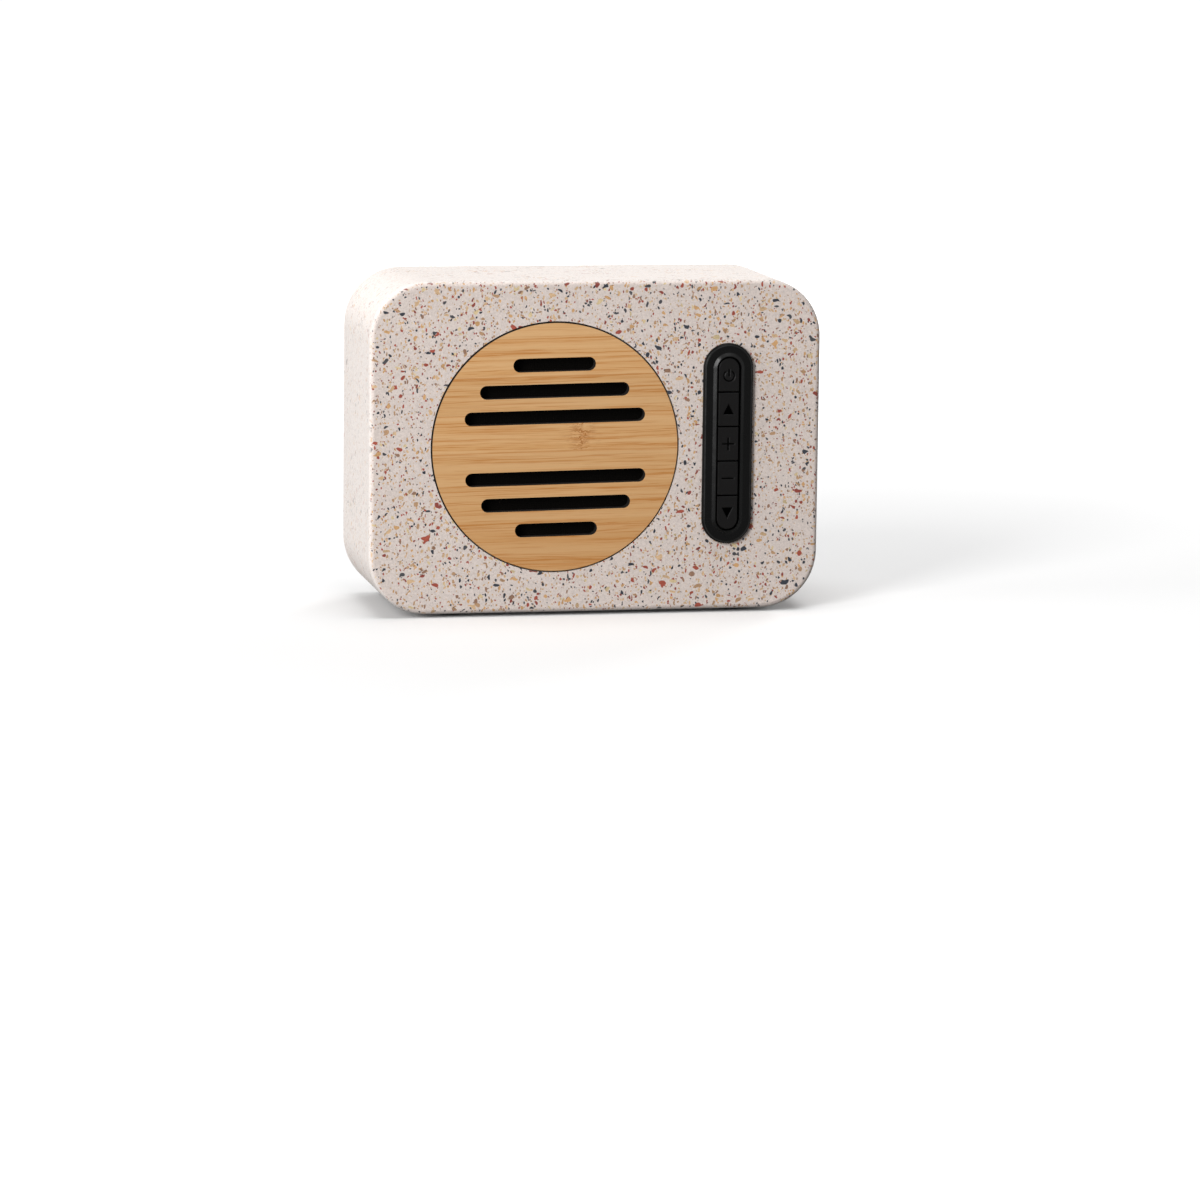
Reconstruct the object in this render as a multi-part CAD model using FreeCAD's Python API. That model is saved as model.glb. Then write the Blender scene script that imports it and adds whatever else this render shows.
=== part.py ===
import FreeCAD
import Part
import math
import os

# Wireless speaker with a cast-stone body. Millimetres, +Z up, the front faces -Y.
# The origin is the bottom centre of the overall box. A depth is measured back from the body's front face.

# Cast body
BODY_WIDTH = 110.0
BODY_HEIGHT = 80.0
BODY_DEPTH = 42.0
BODY_CORNER = 14.0  # radius of the four corners seen from the front
BODY_EDGE = 1.2  # round on the front and back edges
WALL = 7.0
FRONT_WALL = 8.5
CORE_TAPER = 1.0  # how much the cavity narrows per side from its mouth to the front wall
LEDGE = 3.2  # width of the ledge that carries the back panel
CORNER_LAND = 6.1  # the ledge across each corner, where the panel screws go

# Rubber feet
FOOT_DIAMETER = 10.0
FOOT_THICKNESS = 2.0
FOOT_PROUD = 0.8
FOOT_BEVEL = 0.3
FOOT_GAP = 0.1
FOOT_SIDE_INSET = 21.0
FOOT_FACE_INSET = 9.0

# Bamboo grille, let in flush with the front face
GRILLE_DIAMETER = 60.1
GRILLE_THICKNESS = 3.0
GRILLE_GAP = 0.25
GRILLE_LEDGE = 5.35
GRILLE_EDGE = 0.2
GRILLE_TURN = 1.0  # degrees, because the disc is glued in by hand
SLOT_WIDTH = 3.3
SLOT_PITCH = 6.27
SLOT_FIRST = 7.33  # the first slot's distance from the middle
SLOTS_PER_SIDE = 3
SLOT_MARGIN = 1.2  # from the slots' outer corners to the edge of the sound hole
CLOTH_THICKNESS = 0.4
CLOTH_GAP = 0.5

# Control strip
STRIP_INSET = 22.9  # from the body's right side to the strip's centre line
STRIP_PITCH = 42.1  # from the grille's centre to the strip's centre line
STRIP_RISE = 0.4  # from the body's mid-height up to the strip's middle
KEY_NAMES = ("power", "track_forward", "volume_up", "volume_down", "track_back")
KEY_WIDTH = 5.1
KEY_PITCH = 8.36
KEY_SPLIT = 0.3  # between one key and the next
KEY_GAP = 0.35  # between the keys and the bezel
KEY_SUNK = 0.15  # below the bezel's top
KEY_EDGE = 0.25
KEY_FLANGE = 1.0
KEY_FLANGE_SPLIT = 0.4
KEY_SEAT = 0.1
KEY_STEM = 2.4
KEY_TRAVEL = 0.35
BEZEL_PROUD = 1.7
BEZEL_LAND = 0.15
BEZEL_BEVEL = 0.75
BEZEL_RING = 2.3
BEZEL_RING_PROUD = 0.9
BEZEL_ROUND = 0.45
BEZEL_PLATE_BACK = 1.0  # depth of the inner face that holds the keys in
NECK_LAP = 1.0  # how far the bezel covers the cast slot's edge
NECK_WALL = 1.0
NECK_GAP = 0.2
NECK_SIDE = 0.4  # from the key flanges to the neck
HOOK_LENGTH = 6.0
HOOK_RISE = 10.5
HOOK_LIP = 0.6
HOOK_DEPTH = 0.9
HOOK_GAP = 0.1
HOOK_SLIT = 0.8
HOOK_ARM = 4.0

# Key board and its switches
KEY_BOARD_RISE = 1.2  # height of the cast bosses under the board
KEY_BOARD_THICKNESS = 1.2
KEY_BOARD_MARGIN = 2.9
KEY_BOARD_SCREW_RISE = 19.5
KEY_BOARD_SCREW_SIDE = 3.6  # from the cast slot to the screws
KEY_BOARD_CORNER = 1.0
SWITCH_SIZE = 5.2
SWITCH_HEIGHT = 1.5
PLUNGER_DIAMETER = 2.2
PLUNGER_PROUD = 0.7
PLUNGER_FLOOR = 0.1
PLUNGER_GAP = 0.1

# Screws and brass inserts
SCREW_DIAMETER = 2.0
SCREW_HEAD = 3.6
SCREW_HEAD_HEIGHT = 1.3
SCREW_ENTRY = 3.0  # length of shank inside the insert
SCREW_HOLE_GAP = 0.2
INSERT_DIAMETER = 3.4
INSERT_LENGTH = 3.6
INSERT_GAP = 0.05
THREAD_GAP = 0.05

# Driver. Radii are from its axis, and each depth here is from the front face of its flange.
GASKET_THICKNESS = 1.0
DRIVER_LAP = 1.0  # how far the flange covers the wall around the sound hole
SHEET = 0.8  # steel of the frame
FLANGE_LAND = 2.6
SURROUND_LIP = 2.0
SURROUND_ROLL = 3.6
SURROUND_SKIN = 0.4
CONE_RIM = 1.1
CONE_SKIN = 0.45
CONE_NECK_DEPTH = 6.9
COIL_RADIUS = 6.4
FORMER_SKIN = 0.3
WINDING_SKIN = 0.4
WINDING_LENGTH = 2.8
COIL_TAIL = 0.6
COIL_GAP = 0.4  # to the pole and to the top plate
CAP_HEIGHT = 2.8
CAP_SKIN = 0.35
CAP_SEAT = 0.4
GLUE_GAP = 0.1
SPIDER_DEPTH = 8.2
SPIDER_SKIN = 0.3
SPIDER_WAVES = 3
SPIDER_WAVE = 0.45
SPIDER_LAND = 1.3
SPIDER_SEAT = 2.3
SPIDER_REACH = 9.4  # from the former to the frame's wall
FRAME_NECK = 1.4
FRAME_FOOT = 5.2
WINDOW_WIDTH = 15.0
WINDOW_MARGIN = 1.2
EAR_RADIUS = 3.2
EAR_REACH = 3.0
TOP_PLATE_RADIUS = 17.5
TOP_PLATE_THICKNESS = 2.5
MAGNET_RADIUS = 20.0
MAGNET_BORE = 9.5
MAGNET_THICKNESS = 7.0
YOKE_RADIUS = 18.0
YOKE_THICKNESS = 2.5
TERMINAL_WIDTH = 10.0
TERMINAL_LENGTH = 5.0
TERMINAL_THICKNESS = 1.0
TERMINAL_PITCH = 5.0
LUG_WIDTH = 1.6
LUG_LENGTH = 1.4

# Back panel
PANEL_THICKNESS = 2.6
PANEL_RECESS = 0.4
PANEL_GAP = 0.4
PANEL_EDGE = 0.3
SEAL_THICKNESS = 0.8
SEAL_INSET = 0.3
HEAD_SINK = 1.5
HEAD_GAP = 0.2
PORT_RISE = 9.2  # from the cavity floor to the port's middle
PORT_GAP = 0.25
PORT_RECESS = 0.8
PORT_MARGIN = 1.8

# Charging receptacle
USB_WIDTH = 8.94
USB_HEIGHT = 3.26
USB_LENGTH = 7.3
USB_SKIN = 0.3
TONGUE_WIDTH = 6.7
TONGUE_THICKNESS = 0.7
TONGUE_LENGTH = 4.6
TONGUE_GAP = 0.03

# Main board, slid into two rails on the back panel
BOARD_WIDTH = 30.0
BOARD_LENGTH = 21.0
BOARD_THICKNESS = 1.2
BOARD_SIDE = 9.0  # from the cavity's right wall to the board
BOARD_END_GAP = 0.3
RAIL_WIDTH = 2.6
RAIL_GROOVE = 1.2
RAIL_GAP = 0.1
RAIL_LIP = 1.8
SOCKET_LENGTH = 4.4
SOCKET_HEIGHT = 3.5
SOCKET_WALL = 0.7
SOCKET_SIDE = 3.0  # from the sockets to the board's side edges
BOARD_PART_GAP = 0.5  # between one row of parts and the next
SHIELD_WIDTH = 10.0
SHIELD_LENGTH = 8.0
SHIELD_HEIGHT = 1.8
CHIP_SIZE = 5.0
CHIP_HEIGHT = 1.0
CHIP_PITCH = 7.5
CAPACITOR_DIAMETER = 5.0
CAPACITOR_HEIGHT = 5.5
CAPACITOR_BACK = 4.0

# Battery, taped to the back panel
BATTERY_WIDTH = 30.0
BATTERY_LENGTH = 34.0
BATTERY_THICKNESS = 6.0
BATTERY_ROUND = 1.8
BATTERY_SIDE = 5.0
BATTERY_ROOM = 10.6  # above the main board
TERRACE_LENGTH = 4.0
TERRACE_THICKNESS = 2.0
GUARD_THICKNESS = 1.0
GUARD_INSET = 2.0
TAPE_THICKNESS = 0.8
TAPE_INSET = 3.0

# Leads
LEAD_DIAMETER = 1.2
LEAD_PITCH = 1.8
LEAD_RUN = 4.0
RIBBON_WIDTH = 6.0
RIBBON_THICKNESS = 1.0
RIBBON_BEND = 2.5
KEY_SOCKET_DROP = 16.0  # from the strip's middle down to the socket on the key board
KEY_SOCKET_SHIFT = 4.0
KEY_SOCKET_DEPTH = 2.8

# Derived places
FRONT_Y = (BEZEL_PROUD - BODY_DEPTH) / 2
MID_Z = FOOT_PROUD + BODY_HEIGHT / 2
STRIP_X = BODY_WIDTH / 2 - STRIP_INSET
STRIP_Z = MID_Z + STRIP_RISE
GRILLE_X = STRIP_X - STRIP_PITCH
CAVITY_RIGHT = BODY_WIDTH / 2 - WALL
CAVITY_FLOOR = FOOT_PROUD + WALL
PANEL_OUTER = BODY_DEPTH - PANEL_RECESS
PANEL_INNER = PANEL_OUTER - PANEL_THICKNESS
LEDGE_DEPTH = PANEL_INNER - SEAL_THICKNESS

# Derived sizes of the body's back opening
RIM = WALL - LEDGE
REBATE_WIDTH = BODY_WIDTH - 2 * RIM
REBATE_HEIGHT = BODY_HEIGHT - 2 * RIM
REBATE_CORNER = BODY_CORNER - RIM
ARC_CUT = 1 - math.sqrt(0.5)  # what a corner arc of radius 1 takes off each axis on the diagonal
REBATE_DIAGONAL = RIM + REBATE_CORNER * ARC_CUT
LAND_STEP = CORNER_LAND * math.sqrt(0.5)
CAVITY_CORNER = (REBATE_DIAGONAL + LAND_STEP - WALL) / ARC_CUT
PANEL_SCREW_INSET = REBATE_DIAGONAL + LAND_STEP / 2
PANEL_SCREWS = [
    (sx * (BODY_WIDTH / 2 - PANEL_SCREW_INSET), MID_Z + sz * (BODY_HEIGHT / 2 - PANEL_SCREW_INSET))
    for sx in (-1, 1)
    for sz in (-1, 1)
]

# Derived sizes of the grille and the driver
RECESS_RADIUS = GRILLE_DIAMETER / 2 + GRILLE_GAP
HOLE_RADIUS = RECESS_RADIUS - GRILLE_LEDGE
FLANGE_DEPTH = FRONT_WALL + GASKET_THICKNESS
FLANGE_RADIUS = HOLE_RADIUS + DRIVER_LAP
SURROUND_RADIUS = FLANGE_RADIUS - FLANGE_LAND
MOUTH_RADIUS = SURROUND_RADIUS - SURROUND_LIP
ROLL_INNER = MOUTH_RADIUS - SURROUND_ROLL
FORMER_RADIUS = COIL_RADIUS + FORMER_SKIN
WINDING_RADIUS = FORMER_RADIUS + WINDING_SKIN
NECK_RADIUS = FORMER_RADIUS + GLUE_GAP
SEAT_OUTER = NECK_RADIUS + SPIDER_REACH
SEAT_INNER = SEAT_OUTER - SPIDER_SEAT
FRAME_BACK = SPIDER_DEPTH + FRAME_NECK + SHEET
PLATE_BACK = FRAME_BACK + TOP_PLATE_THICKNESS
MAGNET_BACK = PLATE_BACK + MAGNET_THICKNESS
COIL_TOP = CONE_NECK_DEPTH - CAP_SEAT
COIL_BOTTOM = PLATE_BACK + COIL_TAIL
EAR_CENTRE = FLANGE_RADIUS + EAR_REACH
EAR_ANGLES = (45, 135, 225, 315)
EARS = [
    (EAR_CENTRE * math.cos(math.radians(a)), EAR_CENTRE * math.sin(math.radians(a))) for a in EAR_ANGLES
]

# Derived sizes of the control strip, from the keys outwards
KEYS_HEIGHT = len(KEY_NAMES) * KEY_PITCH - KEY_SPLIT
OPENING_WIDTH = KEY_WIDTH + 2 * KEY_GAP
OPENING_HEIGHT = KEYS_HEIGHT + 2 * KEY_GAP
BEZEL_WIDTH = OPENING_WIDTH + 2 * (BEZEL_LAND + BEZEL_BEVEL + BEZEL_RING)
BEZEL_HEIGHT = OPENING_HEIGHT + 2 * (BEZEL_LAND + BEZEL_BEVEL + BEZEL_RING)
NECK_WIDTH = BEZEL_WIDTH - 2 * NECK_LAP
NECK_HEIGHT = BEZEL_HEIGHT - 2 * NECK_LAP
NECK_BACK = FRONT_WALL + HOOK_GAP + HOOK_DEPTH
KEY_BOARD_FRONT = max(FRONT_WALL + KEY_BOARD_RISE, NECK_BACK + HOOK_GAP)
KEY_BOARD_BACK = KEY_BOARD_FRONT + KEY_BOARD_THICKNESS
KEY_BOARD_SCREW_X = NECK_WIDTH / 2 + NECK_GAP + KEY_BOARD_SCREW_SIDE
KEY_BOARD_WIDTH = 2 * (KEY_BOARD_SCREW_X + KEY_BOARD_MARGIN)
KEY_BOARD_HEIGHT = 2 * (KEY_BOARD_SCREW_RISE + KEY_BOARD_MARGIN)
KEY_BOARD_SCREWS = [
    (STRIP_X + side * KEY_BOARD_SCREW_X, STRIP_Z - side * KEY_BOARD_SCREW_RISE) for side in (-1, 1)
]
SWITCH_FRONT = KEY_BOARD_FRONT - SWITCH_HEIGHT
PLUNGER_FRONT = SWITCH_FRONT - PLUNGER_PROUD
KEY_FLANGE_FRONT = BEZEL_PLATE_BACK + KEY_SEAT

# Derived places of the main board and the battery
BOARD_RIGHT = CAVITY_RIGHT - BOARD_SIDE
BOARD_X = BOARD_RIGHT - BOARD_WIDTH / 2
PORT_Z = CAVITY_FLOOR + PORT_RISE
BOARD_TOP = PORT_Z - USB_HEIGHT / 2
BOARD_BOTTOM = BOARD_TOP - BOARD_THICKNESS
BOARD_BACK = PANEL_INNER - BOARD_END_GAP
BOARD_FRONT = BOARD_BACK - BOARD_LENGTH
USB_MOUTH = PANEL_OUTER - PORT_RECESS
SOCKET_TOP = BOARD_TOP + SOCKET_HEIGHT
CAPACITOR_DEPTH = BOARD_BACK - CAPACITOR_BACK
SOCKET_DEPTH = CAPACITOR_DEPTH - CAPACITOR_DIAMETER / 2 - BOARD_PART_GAP - SOCKET_LENGTH / 2
SHIELD_BACK = SOCKET_DEPTH - SOCKET_LENGTH / 2 - BOARD_PART_GAP
DRIVER_SOCKET_X = BOARD_X - BOARD_WIDTH / 2 + SOCKET_SIDE + SOCKET_LENGTH / 2
BATTERY_SOCKET_X = BOARD_RIGHT - SOCKET_SIDE - SOCKET_LENGTH / 2
BATTERY_X = CAVITY_RIGHT - BATTERY_SIDE - BATTERY_WIDTH / 2
BATTERY_BOTTOM = BOARD_TOP + BATTERY_ROOM
BATTERY_BACK = PANEL_INNER - TAPE_THICKNESS
BATTERY_FRONT = BATTERY_BACK - BATTERY_THICKNESS
KEY_SOCKET_X = STRIP_X - KEY_SOCKET_SHIFT
KEY_SOCKET_Z = STRIP_Z - KEY_SOCKET_DROP
RIBBON_DEPTH = BOARD_FRONT + SOCKET_LENGTH / 2 + SOCKET_WALL


def point(x, depth, z):
    """A point at a depth behind the body's front face."""
    return FreeCAD.Vector(x, FRONT_Y + depth, z)


def rounded_outline(width, height, radius, x, z, depth):
    """A rectangle with round corners, facing the front; a radius of half the width makes a pill."""
    half_w = width / 2
    half_h = height / 2
    bend = radius * math.sqrt(0.5)
    edges = []
    corners = ((1, 1), (-1, 1), (-1, -1), (1, -1))
    for i, (sx, sz) in enumerate(corners):
        cx = x + sx * (half_w - radius)
        cz = z + sz * (half_h - radius)
        side = point(cx + sx * radius, depth, cz)
        end = point(cx, depth, cz + sz * radius)
        middle = point(cx + sx * bend, depth, cz + sz * bend)
        first, last = (side, end) if i % 2 == 0 else (end, side)
        edges.append(Part.Arc(first, middle, last).toShape())
        nx, nz = corners[(i + 1) % len(corners)]
        next_cx = x + nx * (half_w - radius)
        next_cz = z + nz * (half_h - radius)
        if i % 2 == 0:
            start = point(next_cx, depth, next_cz + nz * radius)
        else:
            start = point(next_cx + nx * radius, depth, next_cz)
        if last.distanceToPoint(start) > Part.Precision.confusion():
            edges.append(Part.LineSegment(last, start).toShape())
    return Part.Wire(edges)


def rounded_slab(width, height, radius, x, z, front, back):
    """A slab with round corners between two depths."""
    outline = rounded_outline(width, height, radius, x, z, front)
    return Part.Face(outline).extrude(FreeCAD.Vector(0, back - front, 0))


def pill(width, height, x, z, front, back):
    """A slab with fully round ends between two depths."""
    return rounded_slab(width, height, min(width, height) / 2, x, z, front, back)


def block(x0, x1, front, back, z0, z1):
    """A plain block between two values on each axis."""
    return Part.makeBox(x1 - x0, back - front, z1 - z0, point(x0, front, z0))


def bar(radius, x, z, front, back):
    """A round bar along the depth."""
    return Part.makeCylinder(radius, back - front, point(x, front, z), FreeCAD.Vector(0, 1, 0))


def tapered_pill(wide, high, slope, x, z, front, back):
    """A pill whose outline grows by the slope on every side from its front to its back."""
    small = rounded_outline(wide, high, wide / 2, x, z, front)
    large = rounded_outline(wide + 2 * slope, high + 2 * slope, wide / 2 + slope, x, z, back)
    return Part.makeLoft([small, large], True, True)


def turned(edges):
    """A solid turned about the driver's axis from edges in radius and depth behind the flange."""
    face = Part.Face(Part.Wire(edges))
    solid = face.revolve(FreeCAD.Vector(0, 0, 0), FreeCAD.Vector(0, 1, 0), 360)
    solid.translate(point(GRILLE_X, FLANGE_DEPTH, MID_Z))
    return solid


def profile(points):
    """The closed run of straight edges through points of radius and depth."""
    corners = [FreeCAD.Vector(r, d, 0) for r, d in points]
    return Part.makePolygon(corners + corners[:1]).Edges


def edges_at(shape, depth):
    """The edges that lie flat at one depth."""
    y = FRONT_Y + depth
    close = 1000 * Part.Precision.confusion()
    return [e for e in shape.Edges if abs(e.BoundBox.YMin - y) < close and abs(e.BoundBox.YMax - y) < close]


def screw(x, z, seat, toward_front):
    """A pan-head screw that sits on a seat and reaches the given length towards the front."""
    head = bar(SCREW_HEAD / 2, x, z, seat, seat + SCREW_HEAD_HEIGHT)
    head = head.makeFillet(SCREW_HEAD_HEIGHT / 2, edges_at(head, seat + SCREW_HEAD_HEIGHT))
    shank = bar(SCREW_DIAMETER / 2, x, z, seat - toward_front, seat)
    return head.fuse(shank).removeSplitter()


def insert(x, z, mouth):
    """A brass insert whose mouth faces the back."""
    sleeve = bar(INSERT_DIAMETER / 2, x, z, mouth - INSERT_LENGTH, mouth)
    return sleeve.cut(bar(SCREW_DIAMETER / 2 + THREAD_GAP, x, z, mouth - INSERT_LENGTH, mouth))


def insert_hole(x, z, mouth):
    """The hole that a brass insert is set in."""
    return bar(INSERT_DIAMETER / 2 + INSERT_GAP, x, z, mouth - INSERT_LENGTH, mouth)


def lead(points, bend):
    """A round lead along straight runs joined by tangent arcs."""
    edges = []
    start = points[0]
    for before, corner, after in zip(points, points[1:], points[2:]):
        arriving = (corner - before).normalize()
        leaving = (after - corner).normalize()
        half_turn = arriving.getAngle(leaving) / 2
        reach = bend * math.tan(half_turn)
        first = corner - arriving * reach
        last = corner + leaving * reach
        inward = (leaving - arriving).normalize()
        middle = corner + inward * (bend / math.cos(half_turn) - bend)
        edges.append(Part.LineSegment(start, first).toShape())
        edges.append(Part.Arc(first, middle, last).toShape())
        start = last
    edges.append(Part.LineSegment(start, points[-1]).toShape())
    path = Part.Wire(edges)
    section = Part.Wire(Part.makeCircle(LEAD_DIAMETER / 2, points[0], points[1] - points[0]))
    return path.makePipeShell([section], True, True)


def foot_places():
    """The centres of the four feet, as x and depth."""
    x = BODY_WIDTH / 2 - FOOT_SIDE_INSET
    return [(sx * x, d) for sx in (-1, 1) for d in (FOOT_FACE_INSET, BODY_DEPTH - FOOT_FACE_INSET)]


def cast_body():
    """The cast body: a block with round corners, cored from the back, with a stepped mouth."""
    body = rounded_slab(BODY_WIDTH, BODY_HEIGHT, BODY_CORNER, 0, MID_Z, 0, BODY_DEPTH)
    body = body.makeFillet(BODY_EDGE, edges_at(body, 0) + edges_at(body, BODY_DEPTH))
    wide = BODY_WIDTH - 2 * WALL
    high = BODY_HEIGHT - 2 * WALL
    mouth = rounded_outline(wide, high, CAVITY_CORNER, 0, MID_Z, LEDGE_DEPTH)
    end = rounded_outline(
        wide - 2 * CORE_TAPER, high - 2 * CORE_TAPER, CAVITY_CORNER - CORE_TAPER, 0, MID_Z, FRONT_WALL
    )
    body = body.cut(Part.makeLoft([end, mouth], True, True))
    body = body.cut(
        rounded_slab(REBATE_WIDTH, REBATE_HEIGHT, REBATE_CORNER, 0, MID_Z, LEDGE_DEPTH, BODY_DEPTH)
    )
    bosses = []
    for x, z in KEY_BOARD_SCREWS:
        bosses.append(bar(KEY_BOARD_MARGIN, x, z, FRONT_WALL, KEY_BOARD_FRONT))
    body = body.fuse(bosses)
    slot_wide = NECK_WIDTH + 2 * NECK_GAP
    slot_high = NECK_HEIGHT + 2 * NECK_GAP
    cuts = [
        bar(RECESS_RADIUS, GRILLE_X, MID_Z, 0, GRILLE_THICKNESS),
        bar(HOLE_RADIUS, GRILLE_X, MID_Z, GRILLE_THICKNESS, FRONT_WALL),
        pill(slot_wide, slot_high, STRIP_X, STRIP_Z, 0, FRONT_WALL),
    ]
    cuts += [insert_hole(x, z, LEDGE_DEPTH) for x, z in PANEL_SCREWS]
    cuts += [insert_hole(GRILLE_X + dx, MID_Z + dz, FRONT_WALL) for dx, dz in EARS]
    cuts += [insert_hole(x, z, KEY_BOARD_FRONT) for x, z in KEY_BOARD_SCREWS]
    pocket = FOOT_DIAMETER / 2 + FOOT_GAP
    for x, depth in foot_places():
        cuts.append(Part.makeCylinder(pocket, FOOT_THICKNESS - FOOT_PROUD, point(x, depth, FOOT_PROUD)))
    return body.cut(cuts)


def rubber_feet():
    """Four round feet, let into the base, each with a bevelled tread edge."""
    feet = []
    for x, depth in foot_places():
        foot = Part.makeCylinder(FOOT_DIAMETER / 2, FOOT_THICKNESS, point(x, depth, 0))
        tread = [e for e in foot.Edges if e.BoundBox.ZMax < FOOT_THICKNESS / 2]
        feet.append(foot.makeChamfer(FOOT_BEVEL, tread))
    return feet


def grille_disc():
    """The bamboo disc, with slots whose outer corners lie on one circle inside the sound hole."""
    disc = bar(GRILLE_DIAMETER / 2, GRILLE_X, MID_Z, 0, GRILLE_THICKNESS)
    disc = disc.makeChamfer(GRILLE_EDGE, edges_at(disc, 0))
    field = HOLE_RADIUS - SLOT_MARGIN
    slots = []
    for i in range(SLOTS_PER_SIDE):
        offset = SLOT_FIRST + i * SLOT_PITCH
        length = 2 * math.sqrt(field**2 - (offset + SLOT_WIDTH / 2) ** 2)
        for side in (-1, 1):
            z = MID_Z + side * offset
            slots.append(pill(length, SLOT_WIDTH, GRILLE_X, z, 0, GRILLE_THICKNESS))
    disc = disc.cut(slots)
    disc.rotate(point(GRILLE_X, 0, MID_Z), FreeCAD.Vector(0, -1, 0), GRILLE_TURN)
    return disc


def grille_cloth():
    """The acoustic cloth, glued to the back of the grille inside the sound hole."""
    radius = HOLE_RADIUS - CLOTH_GAP
    return bar(radius, GRILLE_X, MID_Z, GRILLE_THICKNESS, GRILLE_THICKNESS + CLOTH_THICKNESS)


def eared_ring(inner, front, back):
    """The flange outline with its four screw ears, and a round hole of the inner radius."""
    ring = bar(FLANGE_RADIUS, GRILLE_X, MID_Z, front, back)
    ears = []
    for angle, (dx, dz) in zip(EAR_ANGLES, EARS):
        ears.append(bar(EAR_RADIUS, GRILLE_X + dx, MID_Z + dz, front, back))
        web = block(GRILLE_X, GRILLE_X + EAR_CENTRE, front, back, MID_Z - EAR_RADIUS, MID_Z + EAR_RADIUS)
        web.rotate(point(GRILLE_X, 0, MID_Z), FreeCAD.Vector(0, -1, 0), angle)
        ears.append(web)
    holes = [bar(inner, GRILLE_X, MID_Z, front, back)]
    hole_radius = SCREW_DIAMETER / 2 + SCREW_HOLE_GAP
    for dx, dz in EARS:
        holes.append(bar(hole_radius, GRILLE_X + dx, MID_Z + dz, front, back))
    return ring.fuse(ears).removeSplitter().cut(holes)


def driver_gasket():
    """The foam gasket between the cast wall and the driver's flange."""
    return eared_ring(SURROUND_RADIUS + GLUE_GAP, FRONT_WALL, FLANGE_DEPTH)


def driver_frame():
    """The pressed steel frame: an eared flange, a cone wall with windows, a spider seat and a foot."""
    wall_run = SEAT_OUTER - MOUTH_RADIUS
    lean = SHEET * math.hypot(wall_run, SPIDER_DEPTH) / SPIDER_DEPTH
    foot_inner = SEAT_INNER - FRAME_FOOT
    wall = turned(
        profile(
            [
                (FLANGE_RADIUS, 0),
                (MOUTH_RADIUS, 0),
                (SEAT_OUTER, SPIDER_DEPTH),
                (SEAT_INNER, SPIDER_DEPTH),
                (SEAT_INNER, FRAME_BACK - SHEET),
                (foot_inner, FRAME_BACK - SHEET),
                (foot_inner, FRAME_BACK),
                (SEAT_INNER + SHEET, FRAME_BACK),
                (SEAT_INNER + SHEET, SPIDER_DEPTH + SHEET),
                (SEAT_OUTER + lean, SPIDER_DEPTH + SHEET),
                (MOUTH_RADIUS + lean, SHEET),
                (FLANGE_RADIUS, SHEET),
            ]
        )
    )
    windows = []
    front = FLANGE_DEPTH + SHEET + WINDOW_MARGIN
    back = FLANGE_DEPTH + SPIDER_DEPTH - WINDOW_MARGIN
    half = WINDOW_WIDTH / 2
    for angle in (0, 90, 180, 270):
        window = block(GRILLE_X, GRILLE_X + FLANGE_RADIUS, front, back, MID_Z - half, MID_Z + half)
        window.rotate(point(GRILLE_X, 0, MID_Z), FreeCAD.Vector(0, -1, 0), angle)
        windows.append(window)
    flange = eared_ring(MOUTH_RADIUS + lean, FLANGE_DEPTH, FLANGE_DEPTH + SHEET)
    return wall.cut(windows).fuse(flange).removeSplitter()


def driver_surround():
    """The rubber surround: a half roll between a lip on the flange and a lip on the cone."""
    roll = SURROUND_ROLL / 2
    centre = ROLL_INNER + roll
    skin = SURROUND_SKIN
    outer = roll + skin
    foot = math.sqrt(outer**2 - skin**2)
    cone_lip = ROLL_INNER - CONE_RIM

    def at(r, d):
        return FreeCAD.Vector(r, d, 0)

    def line(a, b):
        return Part.LineSegment(a, b).toShape()

    return turned(
        [
            line(at(SURROUND_RADIUS, 0), at(MOUTH_RADIUS, 0)),
            Part.Arc(at(MOUTH_RADIUS, 0), at(centre, -roll), at(ROLL_INNER, 0)).toShape(),
            line(at(ROLL_INNER, 0), at(cone_lip, 0)),
            line(at(cone_lip, 0), at(cone_lip, -skin)),
            line(at(cone_lip, -skin), at(centre - foot, -skin)),
            Part.Arc(at(centre - foot, -skin), at(centre, -outer), at(centre + foot, -skin)).toShape(),
            line(at(centre + foot, -skin), at(SURROUND_RADIUS, -skin)),
            line(at(SURROUND_RADIUS, -skin), at(SURROUND_RADIUS, 0)),
        ]
    )


def driver_cone():
    """The paper cone, with a flat rim under the surround and a neck around the coil former."""
    rim = ROLL_INNER - GLUE_GAP
    inner = ROLL_INNER - CONE_RIM
    return turned(
        profile(
            [
                (rim, 0),
                (inner, 0),
                (NECK_RADIUS, CONE_NECK_DEPTH),
                (NECK_RADIUS, CONE_NECK_DEPTH + CONE_SKIN),
                (inner - CONE_SKIN / 2, CONE_SKIN),
                (rim, CONE_SKIN),
            ]
        )
    )


def driver_dust_cap():
    """The domed dust cap, seated on the end of the coil former."""

    def dome(radius, height, base):
        bow = (radius**2 + height**2) / (2 * height)
        half = radius / 2
        rise = math.sqrt(bow**2 - half**2) - (bow - height)
        rim = FreeCAD.Vector(radius, base, 0)
        top = FreeCAD.Vector(0, base - height, 0)
        return rim, top, Part.Arc(rim, FreeCAD.Vector(half, base - rise, 0), top).toShape()

    rim, top, outside = dome(FORMER_RADIUS + CAP_SKIN, CAP_HEIGHT, COIL_TOP)
    inner_rim, inner_top, inside = dome(FORMER_RADIUS, CAP_HEIGHT - CAP_SKIN, COIL_TOP)
    return turned(
        [
            outside,
            Part.LineSegment(top, inner_top).toShape(),
            inside,
            Part.LineSegment(inner_rim, rim).toShape(),
        ]
    )


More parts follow.
